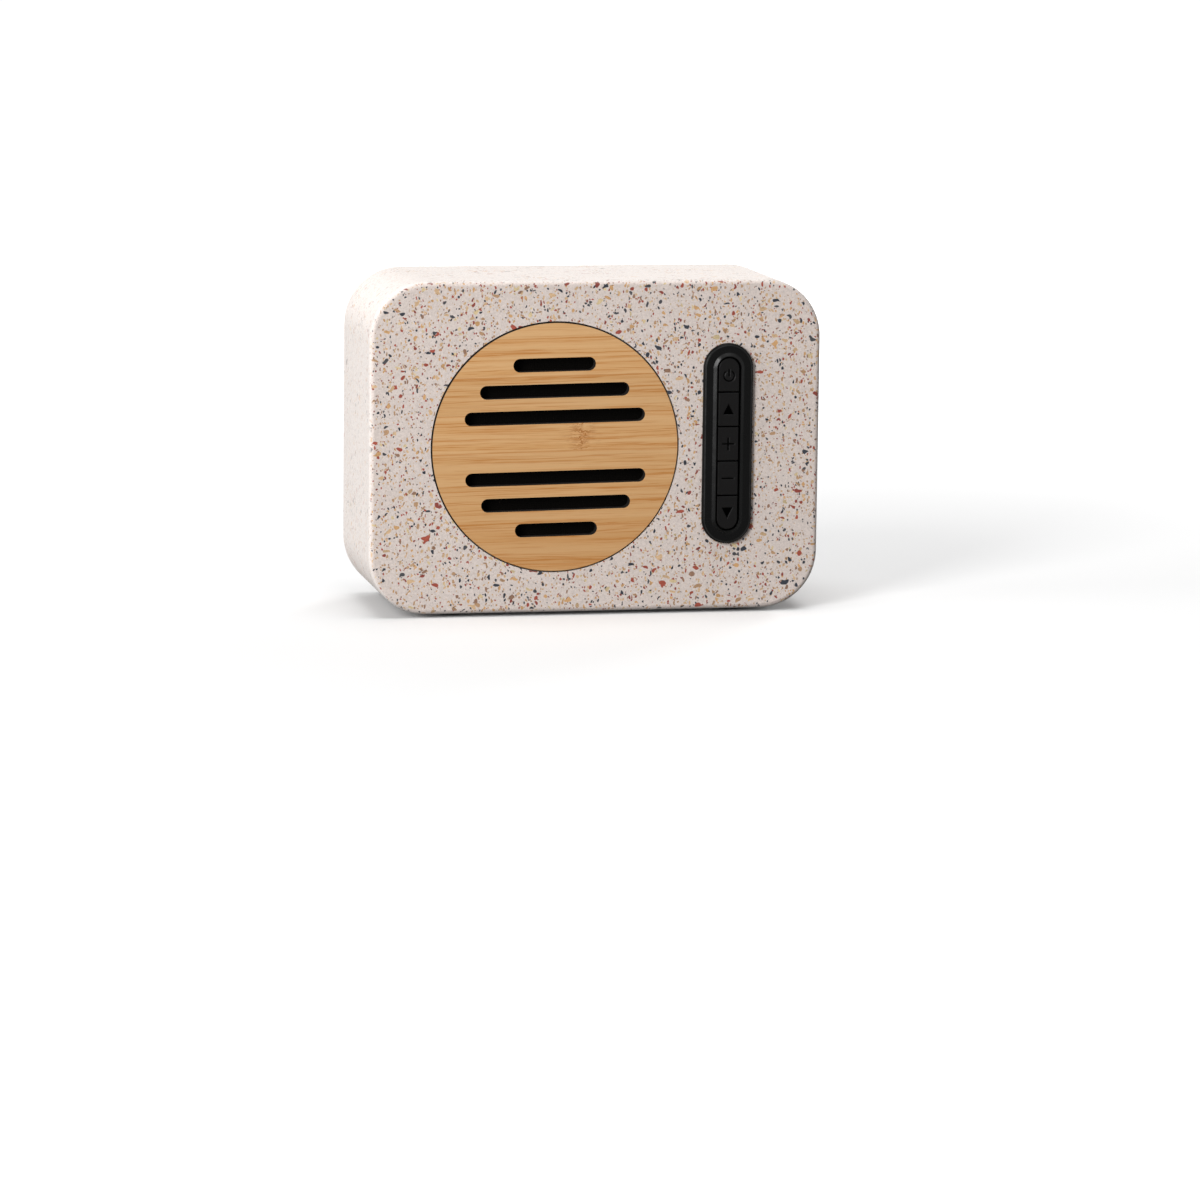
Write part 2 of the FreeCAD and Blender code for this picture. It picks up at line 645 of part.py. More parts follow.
def voice_coil():
    """The coil former with its winding, centred in the magnet gap."""
    middle = FRAME_BACK + TOP_PLATE_THICKNESS / 2
    start = middle - WINDING_LENGTH / 2
    end = middle + WINDING_LENGTH / 2
    return turned(
        profile(
            [
                (COIL_RADIUS, COIL_TOP),
                (FORMER_RADIUS, COIL_TOP),
                (FORMER_RADIUS, start),
                (WINDING_RADIUS, start),
                (WINDING_RADIUS, end),
                (FORMER_RADIUS, end),
                (FORMER_RADIUS, COIL_BOTTOM),
                (COIL_RADIUS, COIL_BOTTOM),
            ]
        )
    )


def driver_spider():
    """The corrugated spider between the coil former and its seat in the frame."""
    steps = 2 * SPIDER_WAVES
    outer_flat = SEAT_OUTER - SPIDER_LAND
    run = outer_flat - NECK_RADIUS
    front = []
    for i in range(steps + 1):
        lift = SPIDER_WAVE if i % 2 else 0
        front.append((NECK_RADIUS + run * i / steps, SPIDER_DEPTH - SPIDER_SKIN - lift))
    front.append((SEAT_OUTER - SPIDER_SKIN, SPIDER_DEPTH - SPIDER_SKIN))
    back = [(r, d + SPIDER_SKIN) for r, d in reversed(front)]
    return turned(profile(front + back))


def turned_ring(inner, outer, front, back):
    """A plain ring about the driver's axis."""
    return turned(profile([(inner, front), (outer, front), (outer, back), (inner, back)]))


def driver_top_plate():
    """The steel top plate, whose bore is the outside of the magnet gap."""
    return turned_ring(WINDING_RADIUS + COIL_GAP, TOP_PLATE_RADIUS, FRAME_BACK, PLATE_BACK)


def driver_magnet():
    """The ferrite ring."""
    return turned_ring(MAGNET_BORE, MAGNET_RADIUS, PLATE_BACK, MAGNET_BACK)


def driver_yoke():
    """The steel yoke: a back plate with the pole that stands inside the coil."""
    pole = COIL_RADIUS - COIL_GAP
    end = MAGNET_BACK + YOKE_THICKNESS
    return turned(
        profile(
            [
                (0, FRAME_BACK),
                (pole, FRAME_BACK),
                (pole, MAGNET_BACK),
                (YOKE_RADIUS, MAGNET_BACK),
                (YOKE_RADIUS, end),
                (0, end),
            ]
        )
    )


def terminal_place():
    """The x of the terminal board's outer edge and the depth of its front and back faces."""
    front = FLANGE_DEPTH + SHEET
    return GRILLE_X + FLANGE_RADIUS + LUG_LENGTH, front, front + TERMINAL_THICKNESS


def driver_terminals():
    """The terminal board behind the flange, with its two solder lugs."""
    right, front, back = terminal_place()
    half = TERMINAL_WIDTH / 2
    board = block(right - TERMINAL_LENGTH, right, front, back, MID_Z - half, MID_Z + half)
    lugs = []
    for side in (-1, 1):
        z = MID_Z + side * TERMINAL_PITCH / 2
        half_lug = LUG_WIDTH / 2
        lugs.append(block(right, right + LUG_LENGTH, front, back, z - half_lug, z + half_lug))
    return board.fuse(lugs).removeSplitter()


def driver_screws():
    """The four screws through the flange's ears."""
    seat = FLANGE_DEPTH + SHEET
    reach = SHEET + GASKET_THICKNESS + SCREW_ENTRY
    return [screw(GRILLE_X + dx, MID_Z + dz, seat, reach) for dx, dz in EARS]


def driver_inserts():
    """The four inserts behind the flange's ears."""
    return [insert(GRILLE_X + dx, MID_Z + dz, FRONT_WALL) for dx, dz in EARS]


def control_bezel():
    """The bezel: a rounded ring, a bevel up to the land, and a neck with four hooks behind the wall."""
    ring = pill(BEZEL_WIDTH, BEZEL_HEIGHT, STRIP_X, STRIP_Z, -BEZEL_RING_PROUD, 0)
    ring = ring.makeFillet(BEZEL_ROUND, edges_at(ring, -BEZEL_RING_PROUD))
    land_wide = OPENING_WIDTH + 2 * BEZEL_LAND
    land_high = OPENING_HEIGHT + 2 * BEZEL_LAND
    crown = tapered_pill(
        land_wide, land_high, BEZEL_BEVEL, STRIP_X, STRIP_Z, -BEZEL_PROUD, -BEZEL_RING_PROUD
    )
    neck = pill(NECK_WIDTH, NECK_HEIGHT, STRIP_X, STRIP_Z, 0, NECK_BACK)
    solid = ring.fuse([crown, neck])
    inside_wide = NECK_WIDTH - 2 * NECK_WALL
    inside_high = NECK_HEIGHT - 2 * NECK_WALL
    solid = solid.cut(
        [
            pill(OPENING_WIDTH, OPENING_HEIGHT, STRIP_X, STRIP_Z, -BEZEL_PROUD, BEZEL_PLATE_BACK),
            pill(inside_wide, inside_high, STRIP_X, STRIP_Z, BEZEL_PLATE_BACK, NECK_BACK),
        ]
    )
    lips = []
    slits = []
    for side in (-1, 1):
        root = STRIP_X + side * NECK_WIDTH / 2
        for rise in (-HOOK_RISE, HOOK_RISE):
            z0 = STRIP_Z + rise - HOOK_LENGTH / 2
            wedge = Part.makePolygon(
                [
                    point(root, FRONT_WALL + HOOK_GAP, z0),
                    point(root + side * HOOK_LIP, FRONT_WALL + HOOK_GAP, z0),
                    point(root, NECK_BACK, z0),
                    point(root, FRONT_WALL + HOOK_GAP, z0),
                ]
            )
            lips.append(Part.Face(wedge).extrude(FreeCAD.Vector(0, 0, HOOK_LENGTH)))
            inner = min(root, root - side * NECK_WALL)
            for edge in (z0 - HOOK_SLIT, z0 + HOOK_LENGTH):
                arm = NECK_BACK - HOOK_ARM
                slits.append(block(inner, inner + NECK_WALL, arm, NECK_BACK, edge, edge + HOOK_SLIT))
    return solid.fuse(lips).removeSplitter().cut(slits)


def key_band(index, split, front, back):
    """The block of height that one key may fill, counted from the top key down."""
    top = STRIP_Z + KEYS_HEIGHT / 2 - index * KEY_PITCH
    bottom = top - (KEY_PITCH - KEY_SPLIT)
    trim = (split - KEY_SPLIT) / 2
    reach = NECK_WIDTH
    low = bottom + trim
    high = top - trim
    if index == 0:
        high = top + reach
    if index == len(KEY_NAMES) - 1:
        low = bottom - reach
    return block(STRIP_X - reach, STRIP_X + reach, front, back, low, high)


def switch_z(index):
    """The height of one key's stem and switch."""
    return STRIP_Z + KEYS_HEIGHT / 2 - (KEY_PITCH - KEY_SPLIT) / 2 - index * KEY_PITCH


def key(index):
    """One key: a cap in the bezel's opening, a flange behind it and a stem to its switch."""
    front = KEY_SUNK - BEZEL_PROUD
    cap = pill(KEY_WIDTH, KEYS_HEIGHT, STRIP_X, STRIP_Z, front, KEY_FLANGE_FRONT)
    cap = cap.common(key_band(index, KEY_SPLIT, front, KEY_FLANGE_FRONT))
    cap = cap.makeFillet(KEY_EDGE, edges_at(cap, front))
    wide = NECK_WIDTH - 2 * (NECK_WALL + NECK_SIDE)
    high = NECK_HEIGHT - 2 * (NECK_WALL + NECK_SIDE)
    flange_back = KEY_FLANGE_FRONT + KEY_FLANGE
    flange = pill(wide, high, STRIP_X, STRIP_Z, KEY_FLANGE_FRONT, flange_back)
    flange = flange.common(key_band(index, KEY_FLANGE_SPLIT, KEY_FLANGE_FRONT, flange_back))
    stem = bar(KEY_STEM / 2, STRIP_X, switch_z(index), flange_back, PLUNGER_FRONT)
    return cap.fuse([flange, stem]).removeSplitter()


def switch_plunger(index):
    """The plunger of one switch, which rides on its key's stem and stops above the board."""
    end = KEY_BOARD_FRONT - KEY_TRAVEL - PLUNGER_FLOOR
    return bar(PLUNGER_DIAMETER / 2, STRIP_X, switch_z(index), PLUNGER_FRONT, end)


def key_switches():
    """The five switch cans, each open where its plunger slides."""
    cans = []
    half = SWITCH_SIZE / 2
    well = PLUNGER_DIAMETER / 2 + PLUNGER_GAP
    for i in range(len(KEY_NAMES)):
        z = switch_z(i)
        can = block(STRIP_X - half, STRIP_X + half, SWITCH_FRONT, KEY_BOARD_FRONT, z - half, z + half)
        cans.append(can.cut(bar(well, STRIP_X, z, SWITCH_FRONT, KEY_BOARD_FRONT)))
    return cans


def key_board():
    """The circuit board behind the keys, on two cast bosses."""
    board = rounded_slab(
        KEY_BOARD_WIDTH,
        KEY_BOARD_HEIGHT,
        KEY_BOARD_CORNER,
        STRIP_X,
        STRIP_Z,
        KEY_BOARD_FRONT,
        KEY_BOARD_BACK,
    )
    radius = SCREW_DIAMETER / 2 + SCREW_HOLE_GAP
    return board.cut([bar(radius, x, z, KEY_BOARD_FRONT, KEY_BOARD_BACK) for x, z in KEY_BOARD_SCREWS])


def key_board_screws():
    """The two screws of the key board."""
    reach = KEY_BOARD_THICKNESS + SCREW_ENTRY
    return [screw(x, z, KEY_BOARD_BACK, reach) for x, z in KEY_BOARD_SCREWS]


def key_board_inserts():
    """The two inserts in the key board's bosses."""
    return [insert(x, z, KEY_BOARD_FRONT) for x, z in KEY_BOARD_SCREWS]


def key_board_socket():
    """The ribbon socket on the back of the key board."""
    half_wide = RIBBON_WIDTH / 2 + SOCKET_WALL
    half_high = RIBBON_THICKNESS / 2 + SOCKET_WALL
    return block(
        KEY_SOCKET_X - half_wide,
        KEY_SOCKET_X + half_wide,
        KEY_BOARD_BACK,
        KEY_BOARD_BACK + KEY_SOCKET_DEPTH,
        KEY_SOCKET_Z - half_high,
        KEY_SOCKET_Z + half_high,
    )


def board_rail(side):
    """One rail on the back panel's inside, with a groove for the main board's edge."""
    edge = BOARD_X + side * BOARD_WIDTH / 2
    groove = edge - side * RAIL_GROOVE
    outside = groove + side * RAIL_WIDTH
    clear = edge + side * RAIL_GAP
    low = BOARD_BOTTOM - RAIL_GAP
    high = BOARD_TOP + RAIL_GAP
    rail = block(
        min(groove, outside), max(groove, outside), BOARD_FRONT, PANEL_INNER, low - RAIL_LIP, high + RAIL_LIP
    )
    return rail.cut(block(min(groove, clear), max(groove, clear), BOARD_FRONT, PANEL_INNER, low, high))


def back_panel():
    """The moulded back panel: sunk screw heads, the charging port and the board's rails."""
    panel = rounded_slab(
        REBATE_WIDTH - 2 * PANEL_GAP,
        REBATE_HEIGHT - 2 * PANEL_GAP,
        REBATE_CORNER - PANEL_GAP,
        0,
        MID_Z,
        PANEL_INNER,
        PANEL_OUTER,
    )
    panel = panel.makeFillet(PANEL_EDGE, edges_at(panel, PANEL_OUTER))
    cuts = []
    for x, z in PANEL_SCREWS:
        cuts.append(bar(SCREW_DIAMETER / 2 + SCREW_HOLE_GAP, x, z, PANEL_INNER, PANEL_OUTER))
        cuts.append(bar(SCREW_HEAD / 2 + HEAD_GAP, x, z, PANEL_OUTER - HEAD_SINK, PANEL_OUTER))
    port_wide = USB_WIDTH + 2 * PORT_GAP
    port_high = USB_HEIGHT + 2 * PORT_GAP
    cuts.append(pill(port_wide, port_high, BOARD_X, PORT_Z, PANEL_INNER, PANEL_OUTER))
    cuts.append(
        pill(port_wide + 2 * PORT_MARGIN, port_high + 2 * PORT_MARGIN, BOARD_X, PORT_Z, USB_MOUTH, PANEL_OUTER)
    )
    return panel.cut(cuts).fuse([board_rail(-1), board_rail(1)]).removeSplitter()


def panel_seal():
    """The foam seal on the ledge behind the back panel."""
    seal = rounded_slab(
        REBATE_WIDTH - 2 * PANEL_GAP,
        REBATE_HEIGHT - 2 * PANEL_GAP,
        REBATE_CORNER - PANEL_GAP,
        0,
        MID_Z,
        LEDGE_DEPTH,
        PANEL_INNER,
    )
    inner = rounded_slab(
        BODY_WIDTH - 2 * (WALL - SEAL_INSET),
        BODY_HEIGHT - 2 * (WALL - SEAL_INSET),
        CAVITY_CORNER + SEAL_INSET,
        0,
        MID_Z,
        LEDGE_DEPTH,
        PANEL_INNER,
    )
    radius = SCREW_DIAMETER / 2 + SCREW_HOLE_GAP
    return seal.cut([inner] + [bar(radius, x, z, LEDGE_DEPTH, PANEL_INNER) for x, z in PANEL_SCREWS])


def panel_screws():
    """The four screws of the back panel."""
    reach = PANEL_THICKNESS - HEAD_SINK + SEAL_THICKNESS + SCREW_ENTRY
    return [screw(x, z, PANEL_OUTER - HEAD_SINK, reach) for x, z in PANEL_SCREWS]


def panel_inserts():
    """The four inserts in the corners of the cast ledge."""
    return [insert(x, z, LEDGE_DEPTH) for x, z in PANEL_SCREWS]


def main_board():
    """The main circuit board, lying flat in the rails."""
    half = BOARD_WIDTH / 2
    return block(BOARD_X - half, BOARD_X + half, BOARD_FRONT, BOARD_BACK, BOARD_BOTTOM, BOARD_TOP)


def usb_shell():
    """The steel shell of the charging receptacle, standing in the port."""
    start = USB_MOUTH - USB_LENGTH
    shell = pill(USB_WIDTH, USB_HEIGHT, BOARD_X, PORT_Z, start, USB_MOUTH)
    return shell.cut(
        pill(USB_WIDTH - 2 * USB_SKIN, USB_HEIGHT - 2 * USB_SKIN, BOARD_X, PORT_Z, start, USB_MOUTH)
    )


def usb_tongue():
    """The receptacle's insulator: a plug at the back of the shell and the tongue."""
    start = USB_MOUTH - USB_LENGTH
    root = start + USB_LENGTH - TONGUE_LENGTH - USB_SKIN
    shrink = 2 * (USB_SKIN + TONGUE_GAP)
    plug = pill(USB_WIDTH - shrink, USB_HEIGHT - shrink, BOARD_X, PORT_Z, start, root)
    half_wide = TONGUE_WIDTH / 2
    half_high = TONGUE_THICKNESS / 2
    end = root + TONGUE_LENGTH
    tongue = block(BOARD_X - half_wide, BOARD_X + half_wide, root, end, PORT_Z - half_high, PORT_Z + half_high)
    return plug.fuse(tongue).removeSplitter()


def radio_shield():
    """The shielding can of the radio module, near the board's front edge."""
    left = DRIVER_SOCKET_X - SOCKET_LENGTH / 2
    front = SHIELD_BACK - SHIELD_LENGTH
    return block(left, left + SHIELD_WIDTH, front, SHIELD_BACK, BOARD_TOP, BOARD_TOP + SHIELD_HEIGHT)


def board_chips():
    """The amplifier and charging chips under the board."""
    chips = []
    middle = (BOARD_FRONT + BOARD_BACK) / 2
    half = CHIP_SIZE / 2
    for side in (-1, 1):
        x = BOARD_X + side * CHIP_PITCH
        low = BOARD_BOTTOM - CHIP_HEIGHT
        chips.append(block(x - half, x + half, middle - half, middle + half, low, BOARD_BOTTOM))
    return chips


def board_capacitors():
    """The two standing capacitors beside the receptacle."""
    cans = []
    for x in (DRIVER_SOCKET_X, BATTERY_SOCKET_X):
        base = point(x, CAPACITOR_DEPTH, BOARD_TOP)
        cans.append(Part.makeCylinder(CAPACITOR_DIAMETER / 2, CAPACITOR_HEIGHT, base))
    return cans


def board_sockets():
    """The sockets of the driver leads, the battery leads and the ribbon."""
    half = SOCKET_LENGTH / 2
    sockets = []
    for x in (DRIVER_SOCKET_X, BATTERY_SOCKET_X):
        front = SOCKET_DEPTH - half
        sockets.append(block(x - half, x + half, front, SOCKET_DEPTH + half, BOARD_TOP, SOCKET_TOP))
    half_wide = RIBBON_WIDTH / 2 + SOCKET_WALL
    sockets.append(
        block(
            KEY_SOCKET_X - half_wide,
            KEY_SOCKET_X + half_wide,
            RIBBON_DEPTH - half,
            RIBBON_DEPTH + half,
            BOARD_TOP,
            SOCKET_TOP,
        )
    )
    return sockets


def battery_cell():
    """The pouch cell: a cushion with round sides and a thin terrace at its lower end."""
    half = BATTERY_WIDTH / 2
    top = BATTERY_BOTTOM + BATTERY_LENGTH
    start = BATTERY_BOTTOM + TERRACE_LENGTH
    cushion = block(BATTERY_X - half, BATTERY_X + half, BATTERY_FRONT, BATTERY_BACK, start, top)
    upright = [e for e in cushion.Edges if e.BoundBox.ZLength > BATTERY_LENGTH / 2]
    cushion = cushion.makeFillet(BATTERY_ROUND, upright)
    middle = (BATTERY_FRONT + BATTERY_BACK) / 2
    inset = half - GUARD_INSET
    terrace = block(
        BATTERY_X - inset, BATTERY_X + inset, middle, middle + TERRACE_THICKNESS, BATTERY_BOTTOM, start
    )
    return cushion.fuse(terrace).removeSplitter()


def battery_guard_board():
    """The cell's protection board, lying on the terrace."""
    inset = BATTERY_WIDTH / 2 - 2 * GUARD_INSET
    middle = (BATTERY_FRONT + BATTERY_BACK) / 2
    start = BATTERY_BOTTOM + TERRACE_LENGTH - GLUE_GAP
    return block(
        BATTERY_X - inset, BATTERY_X + inset, middle - GUARD_THICKNESS, middle, BATTERY_BOTTOM, start
    )


def battery_tape():
    """The foam tape that holds the cell to the back panel."""
    inset = BATTERY_WIDTH / 2 - TAPE_INSET
    low = BATTERY_BOTTOM + TERRACE_LENGTH + TAPE_INSET
    high = BATTERY_BOTTOM + BATTERY_LENGTH - TAPE_INSET
    return block(BATTERY_X - inset, BATTERY_X + inset, BATTERY_BACK, PANEL_INNER, low, high)


def battery_leads():
    """The pair of leads from the protection board down to its socket."""
    depth = (BATTERY_FRONT + BATTERY_BACK - GUARD_THICKNESS) / 2
    drop = (BATTERY_BOTTOM - SOCKET_TOP) / 3
    leads = []
    for side in (-1, 1):
        x = BATTERY_SOCKET_X + side * LEAD_PITCH / 2
        route = [
            point(x, depth, BATTERY_BOTTOM),
            point(x, depth, BATTERY_BOTTOM - drop),
            point(x, SOCKET_DEPTH, SOCKET_TOP + drop),
            point(x, SOCKET_DEPTH, SOCKET_TOP),
        ]
        leads.append(lead(route, LEAD_DIAMETER))
    return leads


def driver_leads():
    """The pair of leads from the driver's lugs back and down to their socket."""
    right, front, back = terminal_place()
    lug = right + LUG_LENGTH / 2
    leads = []
    for side in (-1, 1):
        z = MID_Z + side * TERMINAL_PITCH / 2
        apart = side * LEAD_PITCH / 2
        turn = back + LEAD_RUN + side * LEAD_PITCH
        route = [
            point(lug, back, z),
            point(lug, turn, z),
            point(lug + apart, turn, SOCKET_TOP + 3 * LEAD_RUN),
            point(DRIVER_SOCKET_X + apart, SOCKET_DEPTH, SOCKET_TOP + LEAD_RUN),
            point(DRIVER_SOCKET_X + apart, SOCKET_DEPTH, SOCKET_TOP),
        ]
        leads.append(lead(route, LEAD_DIAMETER))
    return leads


def key_ribbon():
    """The flat ribbon from the key board back and down to the main board."""
    start = KEY_BOARD_BACK + KEY_SOCKET_DEPTH
    half = RIBBON_THICKNESS / 2
    outer = RIBBON_BEND + half
    inner = RIBBON_BEND - half
    turn = math.sqrt(0.5)
    left = KEY_SOCKET_X - RIBBON_WIDTH / 2
    bend_depth = RIBBON_DEPTH - RIBBON_BEND
    bend_z = KEY_SOCKET_Z - RIBBON_BEND

    def at(depth, z):
        return point(left, depth, z)

    def line(a, b):
        return Part.LineSegment(a, b).toShape()

    def arc(radius):
        return Part.Arc(
            at(bend_depth, bend_z + radius),
            at(bend_depth + radius * turn, bend_z + radius * turn),
            at(bend_depth + radius, bend_z),
        ).toShape()

    side = Part.Wire(
        [
            line(at(start, bend_z + outer), at(bend_depth, bend_z + outer)),
            arc(outer),
            line(at(bend_depth + outer, bend_z), at(bend_depth + outer, SOCKET_TOP)),
            line(at(bend_depth + outer, SOCKET_TOP), at(bend_depth + inner, SOCKET_TOP)),
            line(at(bend_depth + inner, SOCKET_TOP), at(bend_depth + inner, bend_z)),
            arc(inner),
            line(at(bend_depth, bend_z + inner), at(start, bend_z + inner)),
            line(at(start, bend_z + inner), at(start, bend_z + outer)),
        ]
    )
    return Part.Face(side).extrude(FreeCAD.Vector(RIBBON_WIDTH, 0, 0))


SINGLE_PIECES = (
    cast_body,
    grille_disc,
    grille_cloth,
    driver_gasket,
    driver_frame,
    driver_surround,
    driver_cone,
    driver_dust_cap,
    voice_coil,
    driver_spider,
    driver_top_plate,
    driver_magnet,
    driver_yoke,
    driver_terminals,
    control_bezel,
    key_board,
    key_board_socket,
    back_panel,
    panel_seal,
    main_board,
    usb_shell,
    usb_tongue,
    radio_shield,
    battery_cell,
    battery_guard_board,
    battery_tape,
    key_ribbon,
)
GROUPS = (
    rubber_feet,
    driver_screws,
    driver_inserts,
    key_switches,
    key_board_screws,
    key_board_inserts,
    panel_screws,
    panel_inserts,
    board_chips,
    board_capacitors,
    board_sockets,
    battery_leads,
    driver_leads,
)


def save(shape, node):
    """Write one node's solid, or group of solids, as its own file."""
    shape.exportStep("parts/" + node + ".step")


def main():
    """Build every piece and write it under its node's name."""
    os.makedirs("parts", exist_ok=True)
    for piece in SINGLE_PIECES:
        save(piece(), piece.__name__)
    for group in GROUPS:
        save(Part.makeCompound(group()), group.__name__)
    for i, name in enumerate(KEY_NAMES):
        save(key(i), name + "_key")
        save(switch_plunger(i), name + "_plunger")


main()
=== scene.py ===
import logging
import math
from dataclasses import dataclass
from enum import Enum
from typing import Any, Sequence

import bmesh
import bpy
import numpy as np
from mathutils import Matrix, Vector


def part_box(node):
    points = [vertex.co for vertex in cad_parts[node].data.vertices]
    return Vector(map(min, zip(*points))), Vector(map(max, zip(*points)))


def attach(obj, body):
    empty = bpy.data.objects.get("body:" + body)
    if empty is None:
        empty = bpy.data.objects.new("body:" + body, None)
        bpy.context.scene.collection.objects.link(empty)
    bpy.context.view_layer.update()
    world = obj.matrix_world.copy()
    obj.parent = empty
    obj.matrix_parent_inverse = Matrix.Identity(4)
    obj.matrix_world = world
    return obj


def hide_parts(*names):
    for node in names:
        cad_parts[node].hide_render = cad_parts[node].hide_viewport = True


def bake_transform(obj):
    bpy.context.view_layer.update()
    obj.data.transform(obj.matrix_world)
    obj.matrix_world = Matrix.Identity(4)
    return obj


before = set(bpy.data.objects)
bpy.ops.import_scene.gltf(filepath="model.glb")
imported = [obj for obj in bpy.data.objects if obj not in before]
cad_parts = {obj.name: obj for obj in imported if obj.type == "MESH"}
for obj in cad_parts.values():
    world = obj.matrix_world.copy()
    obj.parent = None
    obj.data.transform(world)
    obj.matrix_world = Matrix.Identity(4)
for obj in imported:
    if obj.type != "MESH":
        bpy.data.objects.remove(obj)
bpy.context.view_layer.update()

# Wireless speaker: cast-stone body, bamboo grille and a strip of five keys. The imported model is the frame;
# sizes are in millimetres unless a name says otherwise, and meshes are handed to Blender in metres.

LOG = logging.getLogger("speaker")
MM = 0.001
HOUSING = "housing"
Colour = tuple[float, float, float]
Stops = Sequence[tuple[float, Colour]]


class Wire:
    """One output socket of a material, with operators that add Math nodes."""

    def __init__(self, paint: "Paint", socket: bpy.types.NodeSocket) -> None:
        """Wraps a socket.

        Args:
            paint: the material being mixed.
            socket: the output socket to wrap.
        """
        self.paint = paint
        self.socket = socket

    def maths(self, operation: str, *others: Any) -> "Wire":
        """Adds one Math node.

        Args:
            operation: the Math node's operation.
            others: the second and third values, wires or numbers.

        Returns:
            The node's result.
        """
        return self.paint.node("ShaderNodeMath", {"operation": operation}, dict(enumerate((self, *others))))

    def __add__(self, other: Any) -> "Wire":
        """Self plus other."""
        return self.maths("ADD", other)

    __radd__ = __add__

    def __sub__(self, other: Any) -> "Wire":
        """Self minus other."""
        return self.maths("SUBTRACT", other)

    def __rsub__(self, other: float) -> "Wire":
        """Other minus self."""
        return self.paint.node("ShaderNodeMath", {"operation": "SUBTRACT"}, {0: other, 1: self})

    def __mul__(self, other: Any) -> "Wire":
        """Self times other."""
        return self.maths("MULTIPLY", other)

    __rmul__ = __mul__

    def __truediv__(self, other: Any) -> "Wire":
        """Self divided by other."""
        return self.maths("DIVIDE", other)

    def __abs__(self) -> "Wire":
        """Self without its sign."""
        return self.maths("ABSOLUTE")

    def __lt__(self, limit: Any) -> "Wire":
        """1 where self is below the limit, else 0."""
        return self.maths("LESS_THAN", limit)

    def rise(self, low: Any, high: Any) -> "Wire":
        """A smooth step.

        Args:
            low: the value at which the step starts from 0.
            high: the value at which it reaches 1; below low, the step falls instead.

        Returns:
            The step, from 0 to 1.
        """
        return self.paint.node(
            "ShaderNodeMapRange",
            {"interpolation_type": "SMOOTHSTEP"},
            {"Value": self, "From Min": low, "From Max": high},
        )

    def wave(self) -> "Wire":
        """The sine of self, brought to 0 to 1."""
        return self.maths("SINE") * 0.5 + 0.5

    def hypot(self, other: "Wire") -> "Wire":
        """The root of self squared plus other squared."""
        return (self * self + other * other).maths("SQRT")


